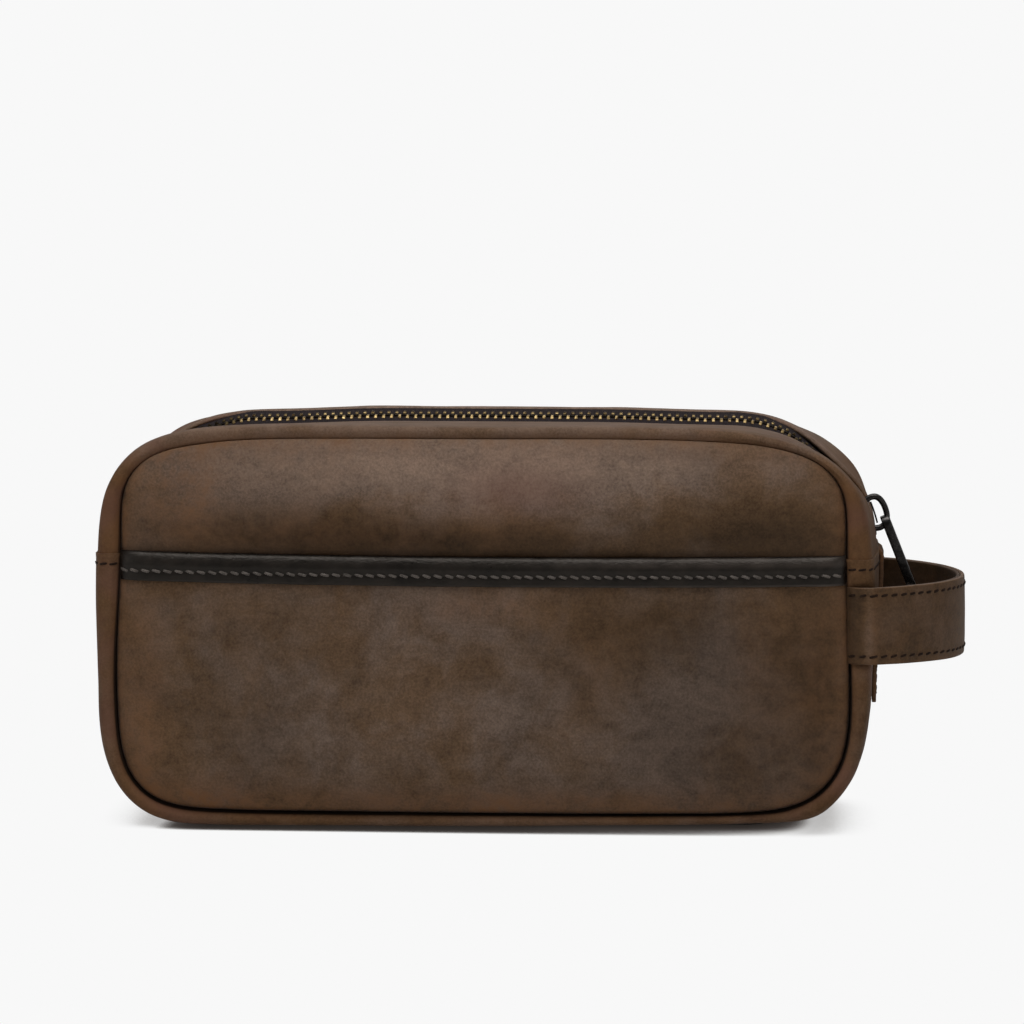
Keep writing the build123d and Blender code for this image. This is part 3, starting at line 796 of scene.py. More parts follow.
def upper_y(x, z, gap):
    t = np.clip((z - 96.0) / (SEAM_TOP - 96.0), 0, 1)
    bulge = 4.1 * np.sin(np.pi * t ** 0.72) * (1 - 0.75 * (np.abs(x) / 128) ** 6)
    shallow = 1.5 * smoothstep(126, 136, z)
    return -(43.2 + shallow + (2.7 - shallow) * (1 - np.exp(-gap / 2.0)) + bulge)


def pocket_y(x, z, gap):
    bulge = 3.3 * np.clip(1 - (np.abs(z - 50) / 56) ** 4, 0, 1)
    bulge = bulge * (1 - 0.8 * (np.abs(x) / 129) ** 6)
    return -(43.4 + 2.9 * (1 - np.exp(-gap / 2.3)) + bulge)


def back_y(x, z, gap):
    bulge = 3.5 * np.clip(1 - (np.abs(z - 70) / 70) ** 3.4, 0, 1)
    bulge = bulge * (1 - 0.8 * (np.abs(x) / 129) ** 5)
    return 43.2 + 2.8 * (1 - np.exp(-gap / 2.3)) + bulge


def simulate_sheet(name, depth, side, pin_below, pin_above, pressure, cap):
    """Pins a sheet along the seams and lets it fill; returns its movement along y on the grid."""
    grid_x, grid_z = np.meshgrid(GRID_X, GRID_Z, indexing="ij")
    x, z = grid_x.ravel(), grid_z.ravel()
    gap = seam_distance(x, z)
    y = depth(x, z, np.maximum(gap, 0))
    mesh = bpy.data.meshes.new(name)
    points = np.stack([x, y, z], 1) * 0.001
    mesh.from_pydata(points.tolist(), [], grid_faces(len(GRID_X), len(GRID_Z)))
    obj = bpy.data.objects.new(name, mesh)
    scene.collection.objects.link(obj)
    face_y(mesh, mesh.polygons[0], side)
    pinned = (gap < 3.5) | (z < pin_below) | (z > pin_above)
    group = obj.vertex_groups.new(name="pin")
    group.add([int(i) for i in np.nonzero(pinned)[0]], 1.0, "REPLACE")
    cloth = obj.modifiers.new("cloth", "CLOTH")
    settings = cloth.settings
    settings.quality = 6
    settings.mass = 0.35
    settings.tension_stiffness = 40
    settings.compression_stiffness = 25
    settings.shear_stiffness = 15
    settings.bending_stiffness = 6.0
    settings.use_pressure = True
    settings.uniform_pressure_force = pressure
    settings.shrink_min = -0.012
    settings.vertex_group_mass = "pin"
    settings.effector_weights.gravity = 0.35
    cloth.collision_settings.use_collision = False
    cloth.point_cache.frame_start, cloth.point_cache.frame_end = 1, 24
    for step in range(1, 25):
        scene.frame_set(step)
    evaluated = obj.evaluated_get(bpy.context.evaluated_depsgraph_get())
    move = coords(evaluated.to_mesh())[:, 1] - y
    evaluated.to_mesh_clear()
    scene.frame_set(1)
    bpy.data.objects.remove(obj)
    move = np.clip(move, -cap, cap)
    move[pinned] = 0
    return move.reshape(grid_x.shape)


def soften(field):
    for _ in range(2):
        pad = np.pad(field, 1, mode="edge")
        around = pad[:-2, 1:-1] + pad[2:, 1:-1] + pad[1:-1, :-2] + pad[1:-1, 2:]
        field = 0.4 * field + 0.15 * around
    return field


def sample_grid(field, x, z):
    across = np.clip((x - GRID_X[0]) / CELL, 0, len(GRID_X) - 1.001)
    up = np.clip((z - GRID_Z[0]) / CELL, 0, len(GRID_Z) - 1.001)
    i, j = across.astype(int), up.astype(int)
    a, b = smoothstep(0, 1, across - i), smoothstep(0, 1, up - j)
    return (field[i, j] * (1 - a) * (1 - b) + field[i + 1, j] * a * (1 - b)
            + field[i, j + 1] * (1 - a) * b + field[i + 1, j + 1] * a * b)


def level_outline(z_low, z_high, inset, count, gap_square):
    """The seam outline drawn in, cut level below and above, without crowded points."""
    outline = []
    for x, z in resample(SEAM - SEAM_OUT * inset, count, closed=True):
        z = min(max(z, z_low), z_high)
        last = outline[-1] if outline else None
        if last is None or (x - last[0]) ** 2 + (z - last[1]) ** 2 > gap_square:
            outline.append((x, z))
    return outline


def fill_outline(outline, inner):
    """Triangles over an outline and the points inside it; returns x, z and faces."""
    edges = [(i, (i + 1) % len(outline)) for i in range(len(outline))]
    points = [Vector(point) for point in outline] + [Vector(point) for point in inner]
    flat, _, faces, *_ = delaunay_2d_cdt(points, edges, [], 1, 1e-5)
    return np.array([p[0] for p in flat]), np.array([p[1] for p in flat]), faces


def panel_points(z_low, z_high, step=2.2):
    """Rings close to the seam, an even lattice inside."""
    points = []
    for inset in (0.5, 1.1, 1.9, 3.0, 4.4, 6.2):
        ring = resample(SEAM - SEAM_OUT * inset, 420, closed=True)
        points += [p for p in ring if z_low + 0.6 < p[1] < z_high - 0.6]
    lattice = []
    row, z = 0, z_low + step * 0.5
    while z < z_high:
        stagger = (row % 2) * step / 2
        lattice += [(x, z) for x in np.arange(-132 + stagger, 132, step)]
        z += step * 0.866
        row += 1
    lattice = np.array(lattice)
    x, z = lattice.T
    keep = (seam_distance(x, z) > 7.4) & (z > z_low + 0.8) & (z < z_high - 0.8)
    return points + list(lattice[keep])


def panel(name, node_names, depth, field, side, z_low, z_high, under_binding=False):
    outline = level_outline(z_low, z_high, inset=0.0, count=520, gap_square=0.6)
    x, z, faces = fill_outline(outline, panel_points(z_low, z_high))
    gap = np.maximum(seam_distance(x, z), 0)
    y = depth(x, z, gap) + sample_grid(field, x, z) * smoothstep(2, 9, gap)
    points = np.stack([x, y, z], 1)
    unevenness = (0.30 * fbm(points, size=34, octaves=3, seed=3.1)
                  + 0.07 * fbm(points, size=9, octaves=2, seed=7.7))
    y += side * smoothstep(1.5, 8, gap) * unevenness
    # tiny puckers where the seam is turned
    turn = np.arctan2(z - 72, x)
    y += side * 0.14 * hump(gap, 2.4, 2.2) * np.sin(turn * 118 + 2 * np.sin(turn * 9))
    points = np.stack([x, y, z], 1)
    attrs = leather_attrs(points, gap, front=side < 0)
    if under_binding:       # painted shadow where it goes behind the pocket's binding
        shadow = 0.55 * np.exp(-np.maximum(z - 98.4, 0) / 1.6)
        attrs["dark"] = np.clip(attrs["dark"] + shadow, 0, 1)
    obj = make_mesh(name, points, faces, LEATHER, attrs=attrs)
    face_y(obj.data, max(obj.data.polygons, key=lambda face: face.area), side)
    thicken(obj, 1.3)
    register(obj, "brown_leather", *node_names)
    return obj


upper_field = soften(simulate_sheet("sheet_upper", upper_y, side=-1, pin_below=99,
                                    pin_above=200, pressure=0.9, cap=2.2))
pocket_field = soften(simulate_sheet("sheet_pocket", pocket_y, side=-1, pin_below=-5,
                                     pin_above=92, pressure=0.7, cap=2.0))
back_field = soften(simulate_sheet("sheet_back", back_y, side=1, pin_below=-5,
                                   pin_above=200, pressure=0.7, cap=2.0))
front_upper = panel("front_panel_upper_leather", ["front_panel_upper", "front_panel_lower"],
                    upper_y, upper_field, side=-1, z_low=95.5, z_high=200, under_binding=True)
pocket = panel("front_pocket_leather", ["front_pocket"], pocket_y, pocket_field,
               side=-1, z_low=-10, z_high=96.0)
back = panel("back_panel_leather", ["back_panel"], back_y, back_field,
             side=1, z_low=-10, z_high=200)

# ---- gusset: rolled edge, sides, base and top


def corner_angle(x, z):
    """Degrees round a top corner: 0 at the side, 90 at the top."""
    across = np.maximum(np.abs(x) - ZIP_CX, 1e-6)
    return np.degrees(np.arctan2(np.maximum(z - ZIP_CZ, 0), across))


def top_sag(x, z):
    """1 over the top of the bag, fading to 0 down its corners."""
    straight = np.where(z > 100, 90.0, 0.0)
    angle = np.where(np.abs(x) <= ZIP_CX, straight, corner_angle(x, z))
    return by_side(x, angle, SAG_RIGHT, SAG_LEFT)


def corner_sink(x, z):
    """The zip lies deeper between its two leathers as it turns the corners."""
    angle = np.where(np.abs(x) <= ZIP_CX, 90.0, corner_angle(x, z)) * (z > ZIP_CZ)
    return by_side(x, angle, SINK_RIGHT, SINK_LEFT)


def gusset_rows(side):
    """Rows from inside the seam, over the rolled edge, toward the zip; and the sagged middle."""
    roll = CREST - SEAM
    z = SEAM[:, 1]
    reach = np.maximum((roll * SEAM_OUT).sum(1), 0.8)
    puff = np.interp(z, [8, 30, 60, 118, 134], [1.0, 0.85, 0.62, 0.5, -0.06])
    flatten = np.interp(z, [118, 132], [1.0, 0.45])
    drop = (4.3 if side < 0 else 0.6) * top_sag(MID[:, 0], MID[:, 1])
    middle = MID - MID_OUT * drop[:, None]

    def off_seam(distance):
        return SEAM + np.reshape(distance, (-1, 1)) * SEAM_OUT

    stations = [            # (y, outline)
        (40.2, off_seam(-2.6)),
        (41.9, off_seam(0.85 * puff - 0.9)),
        (43.4, off_seam(0.95 * puff - 0.15)),
        (44.9, off_seam(np.minimum(1.00 * puff + 0.15, reach * 0.20))),
        (46.3, off_seam(np.minimum(0.75 * puff + 1.20, reach * 0.33))),
        (47.0, off_seam(np.minimum(0.5 * puff + 2.8, reach * 0.50))),
        (46.6, SEAM + roll * 0.72),
        (44.6, SEAM + roll * 0.90),
        (41.5, SEAM + roll * 0.985),
        (38.0, CREST)]
    for y, share in ((31.0, 0.42), (24.0, 0.74), (17.5, 0.93), (13.0, 1.0)):
        stations.append((y, CREST * (1 - share) + middle * share))
    rows = []
    for y, outline in stations:
        if y > 43.4:        # beyond the seam's own depth the roll is flatter at the top
            y = 43.4 + (y - 43.4) * flatten
        rows.append(in_space(outline, y * side))
    return rows, middle


def fine_rows(rows, steps=4):
    """Uniform Catmull-Rom through the rows."""
    grid = np.stack(rows, 1)
    count = grid.shape[1]
    fine = []
    for i in range(count - 1):
        p1, p2 = grid[:, i], grid[:, i + 1]
        p0 = grid[:, i - 1] if i else 2 * p1 - p2
        p3 = grid[:, i + 2] if i + 2 < count else 2 * p2 - p1
        for k in range(steps):
            t = k / steps
            fine.append(0.5 * ((2 * p1) + (-p0 + p2) * t + (2 * p0 - 5 * p1 + 4 * p2 - p3) * t ** 2
                               + (-p0 + 3 * p1 - 3 * p2 + p3) * t ** 3))
    fine.append(grid[:, -1])
    return np.stack(fine, 1)


def outward_normals(grid):
    normal = np.cross(np.gradient(grid, axis=1), np.gradient(grid, axis=0))
    normal = normal / np.maximum(np.linalg.norm(normal, axis=2), 1e-9)[..., None]
    return normal * np.sign(((grid - np.array([0, 0, 70.0])) * normal).sum(2).mean())


def loop_pinch(grid):
    """The strap's ends press the rolled edge flat where they leave the seams."""
    x, y, z = grid[..., 0], grid[..., 1], grid[..., 2]
    strength = smoothstep(LOOP_LOW - 3, LOOP_LOW + 2, z)
    strength = strength * (1 - smoothstep(LOOP_TOP - 2, LOOP_TOP + 3, z))
    over = np.maximum(np.abs(y) - 44.4, 0) * (strength * smoothstep(120, 127, x))
    grid[..., 1] = y - np.sign(y) * over * 0.95


def gusset_attrs(points, column, columns, whole):
    x, _, z = points.T
    nearest = np.minimum(column, columns - 1 - column) if whole else column
    gap = np.interp(nearest, [0, 12, 14, 20, 28, columns], [0.0, 0.0, 0.7, 4.0, 9.0, 30.0])
    attrs = leather_attrs(points, gap)
    lum = attrs["lum"] * 0.35 - 0.05
    warm = np.clip(attrs["warm"] * 0.7 + 0.22, 0, 1.1)
    if not whole:           # zip strips: warmer overall and a little darker, with a painted highlight along the turned edge by the zip
        warm = np.clip(warm + 0.30, 0, 1.1)
        lum = lum - 0.10 + 0.55 * ((column > columns - 8) & (column < columns - 3))
    patch = fbm(points, size=17, octaves=2, seed=7.3)
    attrs["red"] = np.clip(patch * 1.6, 0, 0.8) * smoothstep(60, 110, np.abs(x))
    lum = lum + 0.16 * fbm(points, size=11, octaves=2, seed=3.1) - 0.10 * (x > 60) * (z < 40)
    # painted light: lighter and less warm toward the top, where the gusset faces up
    high = smoothstep(120, 134, z)
    attrs["lum"] = lum + 0.40 * high
    attrs["warm"] = np.clip(warm - 0.30 * high, 0, 1.1)
    # painted shade in the seam's valley
    attrs["dark"] = seam_valley_shade(gap, z, width=(0.22, 0.2), depth=[1.0, 0.65, 0.35, 0.05])
    return attrs


# the turned edge beside the zip: over, down and back under, (y, depth)
ZIP_EDGE = [(10.6, 0.02), (9.7, 0.18), (9.15, 0.62), (9.05, 1.15), (9.5, 1.62), (11.5, 1.8)]


def gusset_piece(name, samples, side=None):
    """One side's strip up to the zip, or without a side the whole width of the base."""
    whole = side is None
    strips = []
    for strip_side in (-1, 1) if whole else (side,):
        rows, middle = gusset_rows(strip_side)
        tail = [(y, 0.0) for y in (10.5, 8.0, 5.5, 3.0)] if whole else ZIP_EDGE
        inward = -outward(middle)
        ends = [in_space(middle + inward * depth, y * strip_side) for y, depth in tail]
        strips.append(np.concatenate([fine_rows(rows), np.stack(ends, 1)], 1)[samples])
    grid = strips[0]
    if whole:
        centre = (strips[0][:, -1:] + strips[1][:, -1:]) / 2
        centre[..., 1] = 0
        grid = np.concatenate([strips[0], centre, strips[1][:, ::-1]], 1)
    normal = outward_normals(grid)
    depth = np.abs(grid[..., 1])
    fade = 1 - smoothstep(40, 46, depth) * 0.8
    if not whole:
        fade = fade * smoothstep(11, 20, depth)
    flat = grid.reshape(-1, 3)
    uneven = (0.30 * fbm(flat, size=40, octaves=3, seed=11.3)
              + 0.08 * fbm(flat, size=10, octaves=2, seed=5.5))
    grid = grid + normal * (uneven.reshape(grid.shape[:2]) * fade)[..., None]
    if whole:               # the hem stands over the upper strips
        z = grid[..., 2]
        lift = 0.50 * smoothstep(60, 95, z) + 0.22 * hump(z, 97.0, 1.4)
        grid = grid + normal * lift[..., None]
    loop_pinch(grid)
    grid[..., 2] = np.maximum(grid[..., 2], 0.05)
    rows, columns = grid.shape[:2]
    points = grid.reshape(-1, 3)
    attrs = gusset_attrs(points, np.tile(np.arange(columns), rows), columns, whole)
    obj = make_mesh(name, points, grid_faces(rows, columns), ROLL, attrs=attrs)
    face_away(obj)
    return obj, grid


EXTRA = 9       # samples the upper gusset runs on inside the hem
base, base_grid = gusset_piece("base_gusset_leather", np.arange(HEM_R, HEM_L + 1))
thicken(base, 1.5, bevel=0.45)
register(base, "brown_leather", "base_gusset")

over_top = np.concatenate([np.arange(HEM_L - EXTRA, SAMPLES), np.arange(0, HEM_R + EXTRA + 1)])
zip_front, _ = gusset_piece("zip_gusset_front_leather", over_top, side=-1)
zip_rear, _ = gusset_piece("zip_gusset_rear_leather", over_top, side=1)
for strip, node_name in ((zip_front, "zip_gusset_front"), (zip_rear, "zip_gusset_rear")):
    thicken(strip, 1.1)
    register(strip, "brown_leather", node_name)

# ---- zip tapes


def zip_path(count):
    """The tape's middle from the right end over the top to the left, and its outward."""
    right = [(ZIP_CX + TAPE_R, z) for z in np.linspace(88.5, ZIP_CZ, 4)[:-1]]
    arc = [corner_point(a, TAPE_R) for a in np.radians(np.linspace(0, 90, 60))]
    top = [(x, ZIP_CZ + TAPE_R) for x in np.linspace(ZIP_CX, 0, 50)[1:]]
    half = right + arc + top
    path = resample(np.array(half + [(-x, z) for x, z in reversed(half[:-1])]), count)
    path = path + corner_shift(path, inward_only=True)
    tangent = unit(np.gradient(path, axis=0))
    return path, np.stack([tangent[:, 1], -tangent[:, 0]], 1)


def zip_drop(x, z, y):
    """How far the zip lies below its level line: its front edge is lower than its back one."""
    lift = np.interp(y, [-20, 10.5, 12.0, 12.6, 13.2, 20], [-4.5, 2.36, 2.35, 1.9, 1.3, 1.2])
    return top_sag(x, z) * (1.35 - lift) + corner_sink(x, z)


TAPE_SECTION = [            # (y from the middle, height)
    (1.3, 0.0), (1.8, 0.0), (3.0, -0.02), (4.5, -0.05), (6.0, -0.08), (7.5, -0.1), (9.0, -0.1),
    (10.5, -0.15), (12.0, -0.2), (12.6, -0.25), (13.2, -0.35), (15.6, -0.5)]


def tape_piece(name, side, node_name):
    path, out = zip_path(330)
    rows = []
    for y, height in TAPE_SECTION:
        rise = height - zip_drop(path[:, 0], path[:, 1], y * side)
        rows.append(in_space(path + out * rise[:, None], y * side))
    width = len(TAPE_SECTION)
    attrs = {"along": np.repeat(arc_length(path), width),
             "across": np.tile([y for y, _ in TAPE_SECTION], len(path))}
    obj = make_mesh(name, np.stack(rows, 1).reshape(-1, 3), grid_faces(len(path), width),
                    TAPE, attrs=attrs)
    face_away(obj)
    thicken(obj, 0.7, offset=0.0)
    register(obj, "zip_tape", node_name)
    return obj


tape_front = tape_piece("zip_tape_front_cloth", -1, "zip_tape_front")
tape_rear = tape_piece("zip_tape_rear_cloth", 1, "zip_tape_rear")

# ---- zip teeth, between two angles round the corners

ARC_FROM, ARC_TO = 24.8, 171.5
RIGHT_LENGTH = math.radians(90 - ARC_FROM) * TAPE_R
TOP_LENGTH = 2 * ZIP_CX
LEFT_LENGTH = math.radians(ARC_TO - 90) * TAPE_R
TEETH = int((RIGHT_LENGTH + TOP_LENGTH + LEFT_LENGTH) / PITCH)
# half of a tooth's section: low head, raised cup over the tape's cord, clamp; (y, height)
TOOTH = [(0.95, 0.30), (0.90, 0.56), (0.55, 0.74), (-0.35, 0.66), (-0.95, 0.74), (-1.40, 1.16),
         (-1.95, 1.40), (-2.50, 1.28), (-2.95, 0.92), (-3.35, 0.55), (-3.45, 0.0)]
TOOTH_SLICES = [(-0.58, 0.78), (-0.50, 0.93), (-0.28, 1.0), (0.28, 1.0), (0.50, 0.93),
                (0.58, 0.78)]           # (place along the zip, size)


def on_zip(length):
    """Point, tangent and outward at a length along the teeth from the right end."""
    if length < RIGHT_LENGTH:
        angle = math.radians(ARC_FROM) + length / TAPE_R
        x, z = corner_point(angle, TAPE_R)
    elif length < RIGHT_LENGTH + TOP_LENGTH:
        angle = math.pi / 2
        x, z = ZIP_CX - (length - RIGHT_LENGTH), ZIP_CZ + TAPE_R
    else:
        angle = math.pi / 2 + (length - RIGHT_LENGTH - TOP_LENGTH) / TAPE_R
        x, z = -ZIP_CX + TAPE_R * math.cos(angle), ZIP_CZ + TAPE_R * math.sin(angle)
    cos, sin = math.cos(angle), math.sin(angle)
    return np.array([x, 0, z]), np.array([-sin, 0, cos]), np.array([cos, 0, sin])


def tooth_mesh():
    work = bmesh.new()
    section = TOOTH + [(y, -height) for y, height in reversed(TOOTH[:-1])]
    rings = []
    for place, size in TOOTH_SLICES:
        rings.append([work.verts.new((place, -1.2 + (y + 1.2) * (0.94 + 0.06 * size),
                                      height * size)) for y, height in section])
    for a, b in zip(rings, rings[1:]):
        for i in range(len(section)):
            j = (i + 1) % len(section)
            work.faces.new((a[i], a[j], b[j], b[i]))
    work.faces.new(rings[0])
    work.faces.new(list(reversed(rings[-1])))
    bmesh.ops.recalc_face_normals(work, faces=work.faces)
    work.verts.index_update()
    points = np.array([vert.co[:] for vert in work.verts])
    faces = [[vert.index for vert in face.verts] for face in work.faces]
    work.free()
    return points, faces


def teeth_piece(name, side, node_name, phase, shade_from, shade_fade):
    """phase: share of the pitch that these teeth are set on by."""
    tooth, tooth_faces = tooth_mesh()
    y = tooth[:, 1] * -side
    teeth, faces = [], []
    for i in range(TEETH):
        point, tangent, out = on_zip((i + phase) * PITCH)
        shift = corner_shift(np.array([[point[0], point[2]]]), inward_only=True)[0]
        placed = (point + np.array([shift[0], 0, shift[1]])
                  + np.outer(tooth[:, 0], tangent) + np.outer(tooth[:, 2], out))
        placed -= np.outer(zip_drop(point[0], point[2], y), out)
        placed[:, 1] = y
        faces += [[k + i * len(tooth) for k in face] for face in tooth_faces]
        teeth.append(placed)
    points = np.vstack(teeth)
    x = points[:, 0]
    # painted shade on each tooth away from its lit bump, and on the teeth toward both ends of the
    # zip
    painted_shade = np.tile(np.clip((tooth[:, 1] + shade_from) / shade_fade, 0, 1), TEETH)
    ends = 0.9 * smoothstep(-84, -100, x) + 0.7 * smoothstep(100, 116, x)
    obj = make_mesh(name, points, faces, BRASS, smooth=False,
                    attrs={"shade": np.clip(painted_shade + ends, 0, 1)})
    add_bevel(obj, 0.14, segments=1, angle=40)
    apply_modifiers(obj)
    shade(obj, False)
    register(obj, "antique_brass", node_name)
    return obj


teeth_front = teeth_piece("zip_teeth_front_brass", -1, "zip_teeth_front", phase=0.25,
                          shade_from=1.75, shade_fade=0.6)
teeth_rear = teeth_piece("zip_teeth_rear_brass", 1, "zip_teeth_rear", phase=0.75,
                         shade_from=1.30, shade_fade=0.4)

# ---- zip stops and slider; outlines seen from outside are (mm along the zip, y)

STOP_TOP = [(-1.3, 0.5), (1.3, 0.5), (1.45, 1.0), (1.4, 3.2), (1.0, 3.7), (-1.0, 3.7),
            (-1.4, 3.2), (-1.45, 1.0)]
STOP_LOW = [(-1.6, -3.4), (1.6, -3.4), (1.6, 3.4), (-1.6, 3.4)]
SLIDER_PLATE = [
    (6.0, -2.6), (5.6, -3.4), (2.0, -4.2), (-1.5, -5.0), (-4.2, -5.3), (-5.6, -4.6),
    (-6.2, -3.0), (-5.7, -1.2), (-5.0, 0.0), (-5.7, 1.2), (-6.2, 3.0), (-5.6, 4.6), (-4.2, 5.3),
    (-1.5, 5.0), (2.0, 4.2), (5.6, 3.4), (6.0, 2.6)]
SLIDER_WALL = [(5.6, 3.0), (2.0, 3.9), (-1.2, 4.5), (-1.2, 5.0), (2.0, 4.3), (5.6, 3.5)]
SLIDER_POST = [(-5.4, -0.9), (-2.2, -0.5), (-2.2, 0.5), (-5.4, 0.9)]


def curved_block(name, outline, low, high, angle, material, bevel, side=1):
    """A plate between two heights over the tape, bent to the right or left (-1) corner."""
    count = len(outline)
    points = []
    for height in (low, high):
        for along, y in outline:
            x, z = corner_point(math.radians(angle) + along / TAPE_R, TAPE_R + height)
            points.append((side * x, y, z))
    faces = [tuple(range(count)), tuple(count + i for i in reversed(range(count)))]
    for i in range(count):
        j = (i + 1) % count
        faces.append((i, count + i, count + j, j))
    obj = make_mesh(name, points, faces, material, smooth=False)
    add_bevel(obj, bevel, segments=3, angle=35)
    apply_modifiers(obj)
    shade(obj, True)
    return obj


def mirrored(outline, side):
    return [(along, y * side) for along, y in outline]


def top_stop(side, node_name, ride=None):
    """Clamp on one tape at the right end."""
    obj = curved_block(node_name + "_metal", mirrored(STOP_TOP, side), low=-1.5, high=1.6,
                       angle=7.6, material=BRASS, bevel=0.4)
    register(obj, "antique_brass", node_name, ride=ride)
    return obj


stop_front = top_stop(-1, "zip_top_stop_front")
top_stop(1, "zip_top_stop_rear", ride="bag")
stop_low = curved_block("zip_bottom_stop_metal", STOP_LOW, low=-1.5, high=1.5, angle=5.4,
                        material=BRASS, bevel=0.45, side=-1)
register(stop_low, "antique_brass", "zip_bottom_stop", ride="bag")


def slider_body():
    """Two shield-shaped plates joined by a post, with low side walls."""
    blocks = [      # (name, outline, low, high, bevel)
        ("slider_plate_out", SLIDER_PLATE, 1.30, 2.35, 0.40),
        ("slider_plate_in", SLIDER_PLATE, -2.35, -1.30, 0.40)]
    for side in (-1, 1):
        wall = mirrored(SLIDER_WALL, side)
        blocks += [("slider_wall", wall, 0.7, 1.35, 0.1), ("slider_wall", wall, -1.35, -0.7, 0.1)]
    blocks.append(("slider_post", SLIDER_POST, -1.35, 1.35, 0.1))
    parts = [curved_block(name, outline, low, high, SLIDER_AT, GUN, bevel)
             for name, outline, low, high, bevel in blocks]
    bpy.ops.object.select_all(action="DESELECT")
    for part in parts:
        part.select_set(True)
    bpy.context.view_layer.objects.active = parts[0]
    bpy.ops.object.join()
    parts[0].name = parts[0].data.name = "slider_body_metal"
    register(parts[0], "gunmetal", "slider_body", ride="slider")


BAIL = [                # (height over the plate, degrees round the corner)
    (-1.0, 23.7), (0.9, 24.0), (2.7, 23.5), (3.8, 22.1), (4.35, 20.1), (4.5, 18.0), (4.3, 15.9),
    (3.5, 14.0), (2.3, 12.9), (0.9, 12.4), (-1.0, 12.5)]
PLATE_R = TAPE_R + 2.95


def slider_bail():
    """A rounded strip arching over the puller's crossbar."""
    line = catmull([corner_point(math.radians(angle), PLATE_R + height)
                    for height, angle in BAIL], 6, closed=False)
    tangent = unit(np.gradient(line, axis=0))
    normal = in_space(np.stack([tangent[:, 1], -tangent[:, 0]], 1), 0.0)
    profile = rounded_rect(width=2.1, height=3.0, radius=0.85)
    rings = in_space(line, 0.0)[:, None] + profile[:, :1] * normal[:, None]
    rings = rings + profile[:, 1:] * Y_AXIS
    obj = make_mesh("slider_bail_metal", rings.reshape(-1, 3),
                    tube_faces(len(line), len(profile)), GUN)
    register(obj, "gunmetal", "slider_bail", ride="slider")


def slot_outline(start, end, start_half, end_half, steps=14):
    """A round-ended slot whose half width goes from start_half to end_half."""
    points = []
    for x, half, turn in ((start + start_half, start_half, 90), (end - end_half, end_half, -90)):
        for k in range(steps + 1):
            angle = math.radians(turn + 180 * k / steps)
            points.append((x + half * math.cos(angle), half * math.sin(angle)))
    return points


def puller_mesh():
    """Flat pull: round head on the crossbar, window for the bail, long slot, soft edges."""
    curve = bpy.data.curves.new("pull", "CURVE")
    curve.dimensions = "2D"
    curve.fill_mode = "BOTH"
    curve.extrude = 0.00112
    curve.bevel_depth = 0.00045
    curve.bevel_resolution = 3
    curve.resolution_u = 12
    outlines = (slot_outline(-0.6, 27.6, 3.0, 4.1), slot_outline(1.35, 5.0, 1.75, 1.75)[::-1],
                slot_outline(8.6, 25.2, 1.5, 1.9)[::-1])
    for outline in outlines:
        spline = curve.splines.new("POLY")
        spline.points.add(len(outline) - 1)
        for point, (x, y) in zip(spline.points, outline):
            point.co = (x * 0.001, y * 0.001, 0, 1)
        spline.use_cyclic_u = True
    obj = bpy.data.objects.new("pull", curve)
    scene.collection.objects.link(obj)
    bpy.context.view_layer.update()
    deps = bpy.context.evaluated_depsgraph_get()
    mesh = bpy.data.meshes.new_from_object(obj.evaluated_get(deps))
    bpy.data.objects.remove(obj)
    return coords(mesh), [list(face.vertices) for face in mesh.polygons]


def puller():
    """Hangs from its pivot, leaning toward the middle of the frame piece's far end."""
    flat, faces = puller_mesh()
    low, high = box_mm("puller")
    lean = math.atan2(high[0] - 1.2 - PIVOT[0], PIVOT[2] - (low[2] + 0.6))
    down = np.array([math.sin(lean), 0, -math.cos(lean)])
    face_out = np.array([math.cos(lean), 0, math.sin(lean)])
    points = PIVOT + np.outer(flat[:, 0], down) + np.outer(flat[:, 2], face_out)
    points[:, 1] = flat[:, 1]
    obj = make_mesh("puller_metal", points, faces, GUN, weld=True)
    register(obj, "gunmetal", "puller", ride="puller")


slider_body()
slider_bail()
puller()
for node_name, material in (("slider_lock_spring", STEEL), ("base_board", BOARD)):
    slots = frame["nodes"][node_name].data.materials
    slots.clear()
    slots.append(material)

# ---- pocket binding

BINDING = np.array([        # closed section, (out from the pocket, up from the top)
    (0.00, -10.25), (0.75, -10.3), (1.05, -10.05), (1.12, -9.4), (1.18, -8.0), (1.20, -7.2),
    (1.02, -6.75), (1.26, -6.3), (1.66, -5.2), (1.78, -4.2), (1.66, -3.0), (1.30, -1.8),
    (0.88, -0.95), (0.42, -0.35), (-0.25, 0.0), (-0.95, -0.2), (-1.5, -0.9), (-1.6, -2.0),
    (-1.6, -6.0), (-1.0, -6.0), (-0.9, -2.4), (-0.6, -1.7), (-0.1, -1.7), (0.3, -2.6),
    (0.25, -5.0), (0.1, -9.0)])
BINDING_GROOVE = 6          # the point of the section the thread lies in
BINDING_X = np.linspace(-126.9, 126.1, 260)


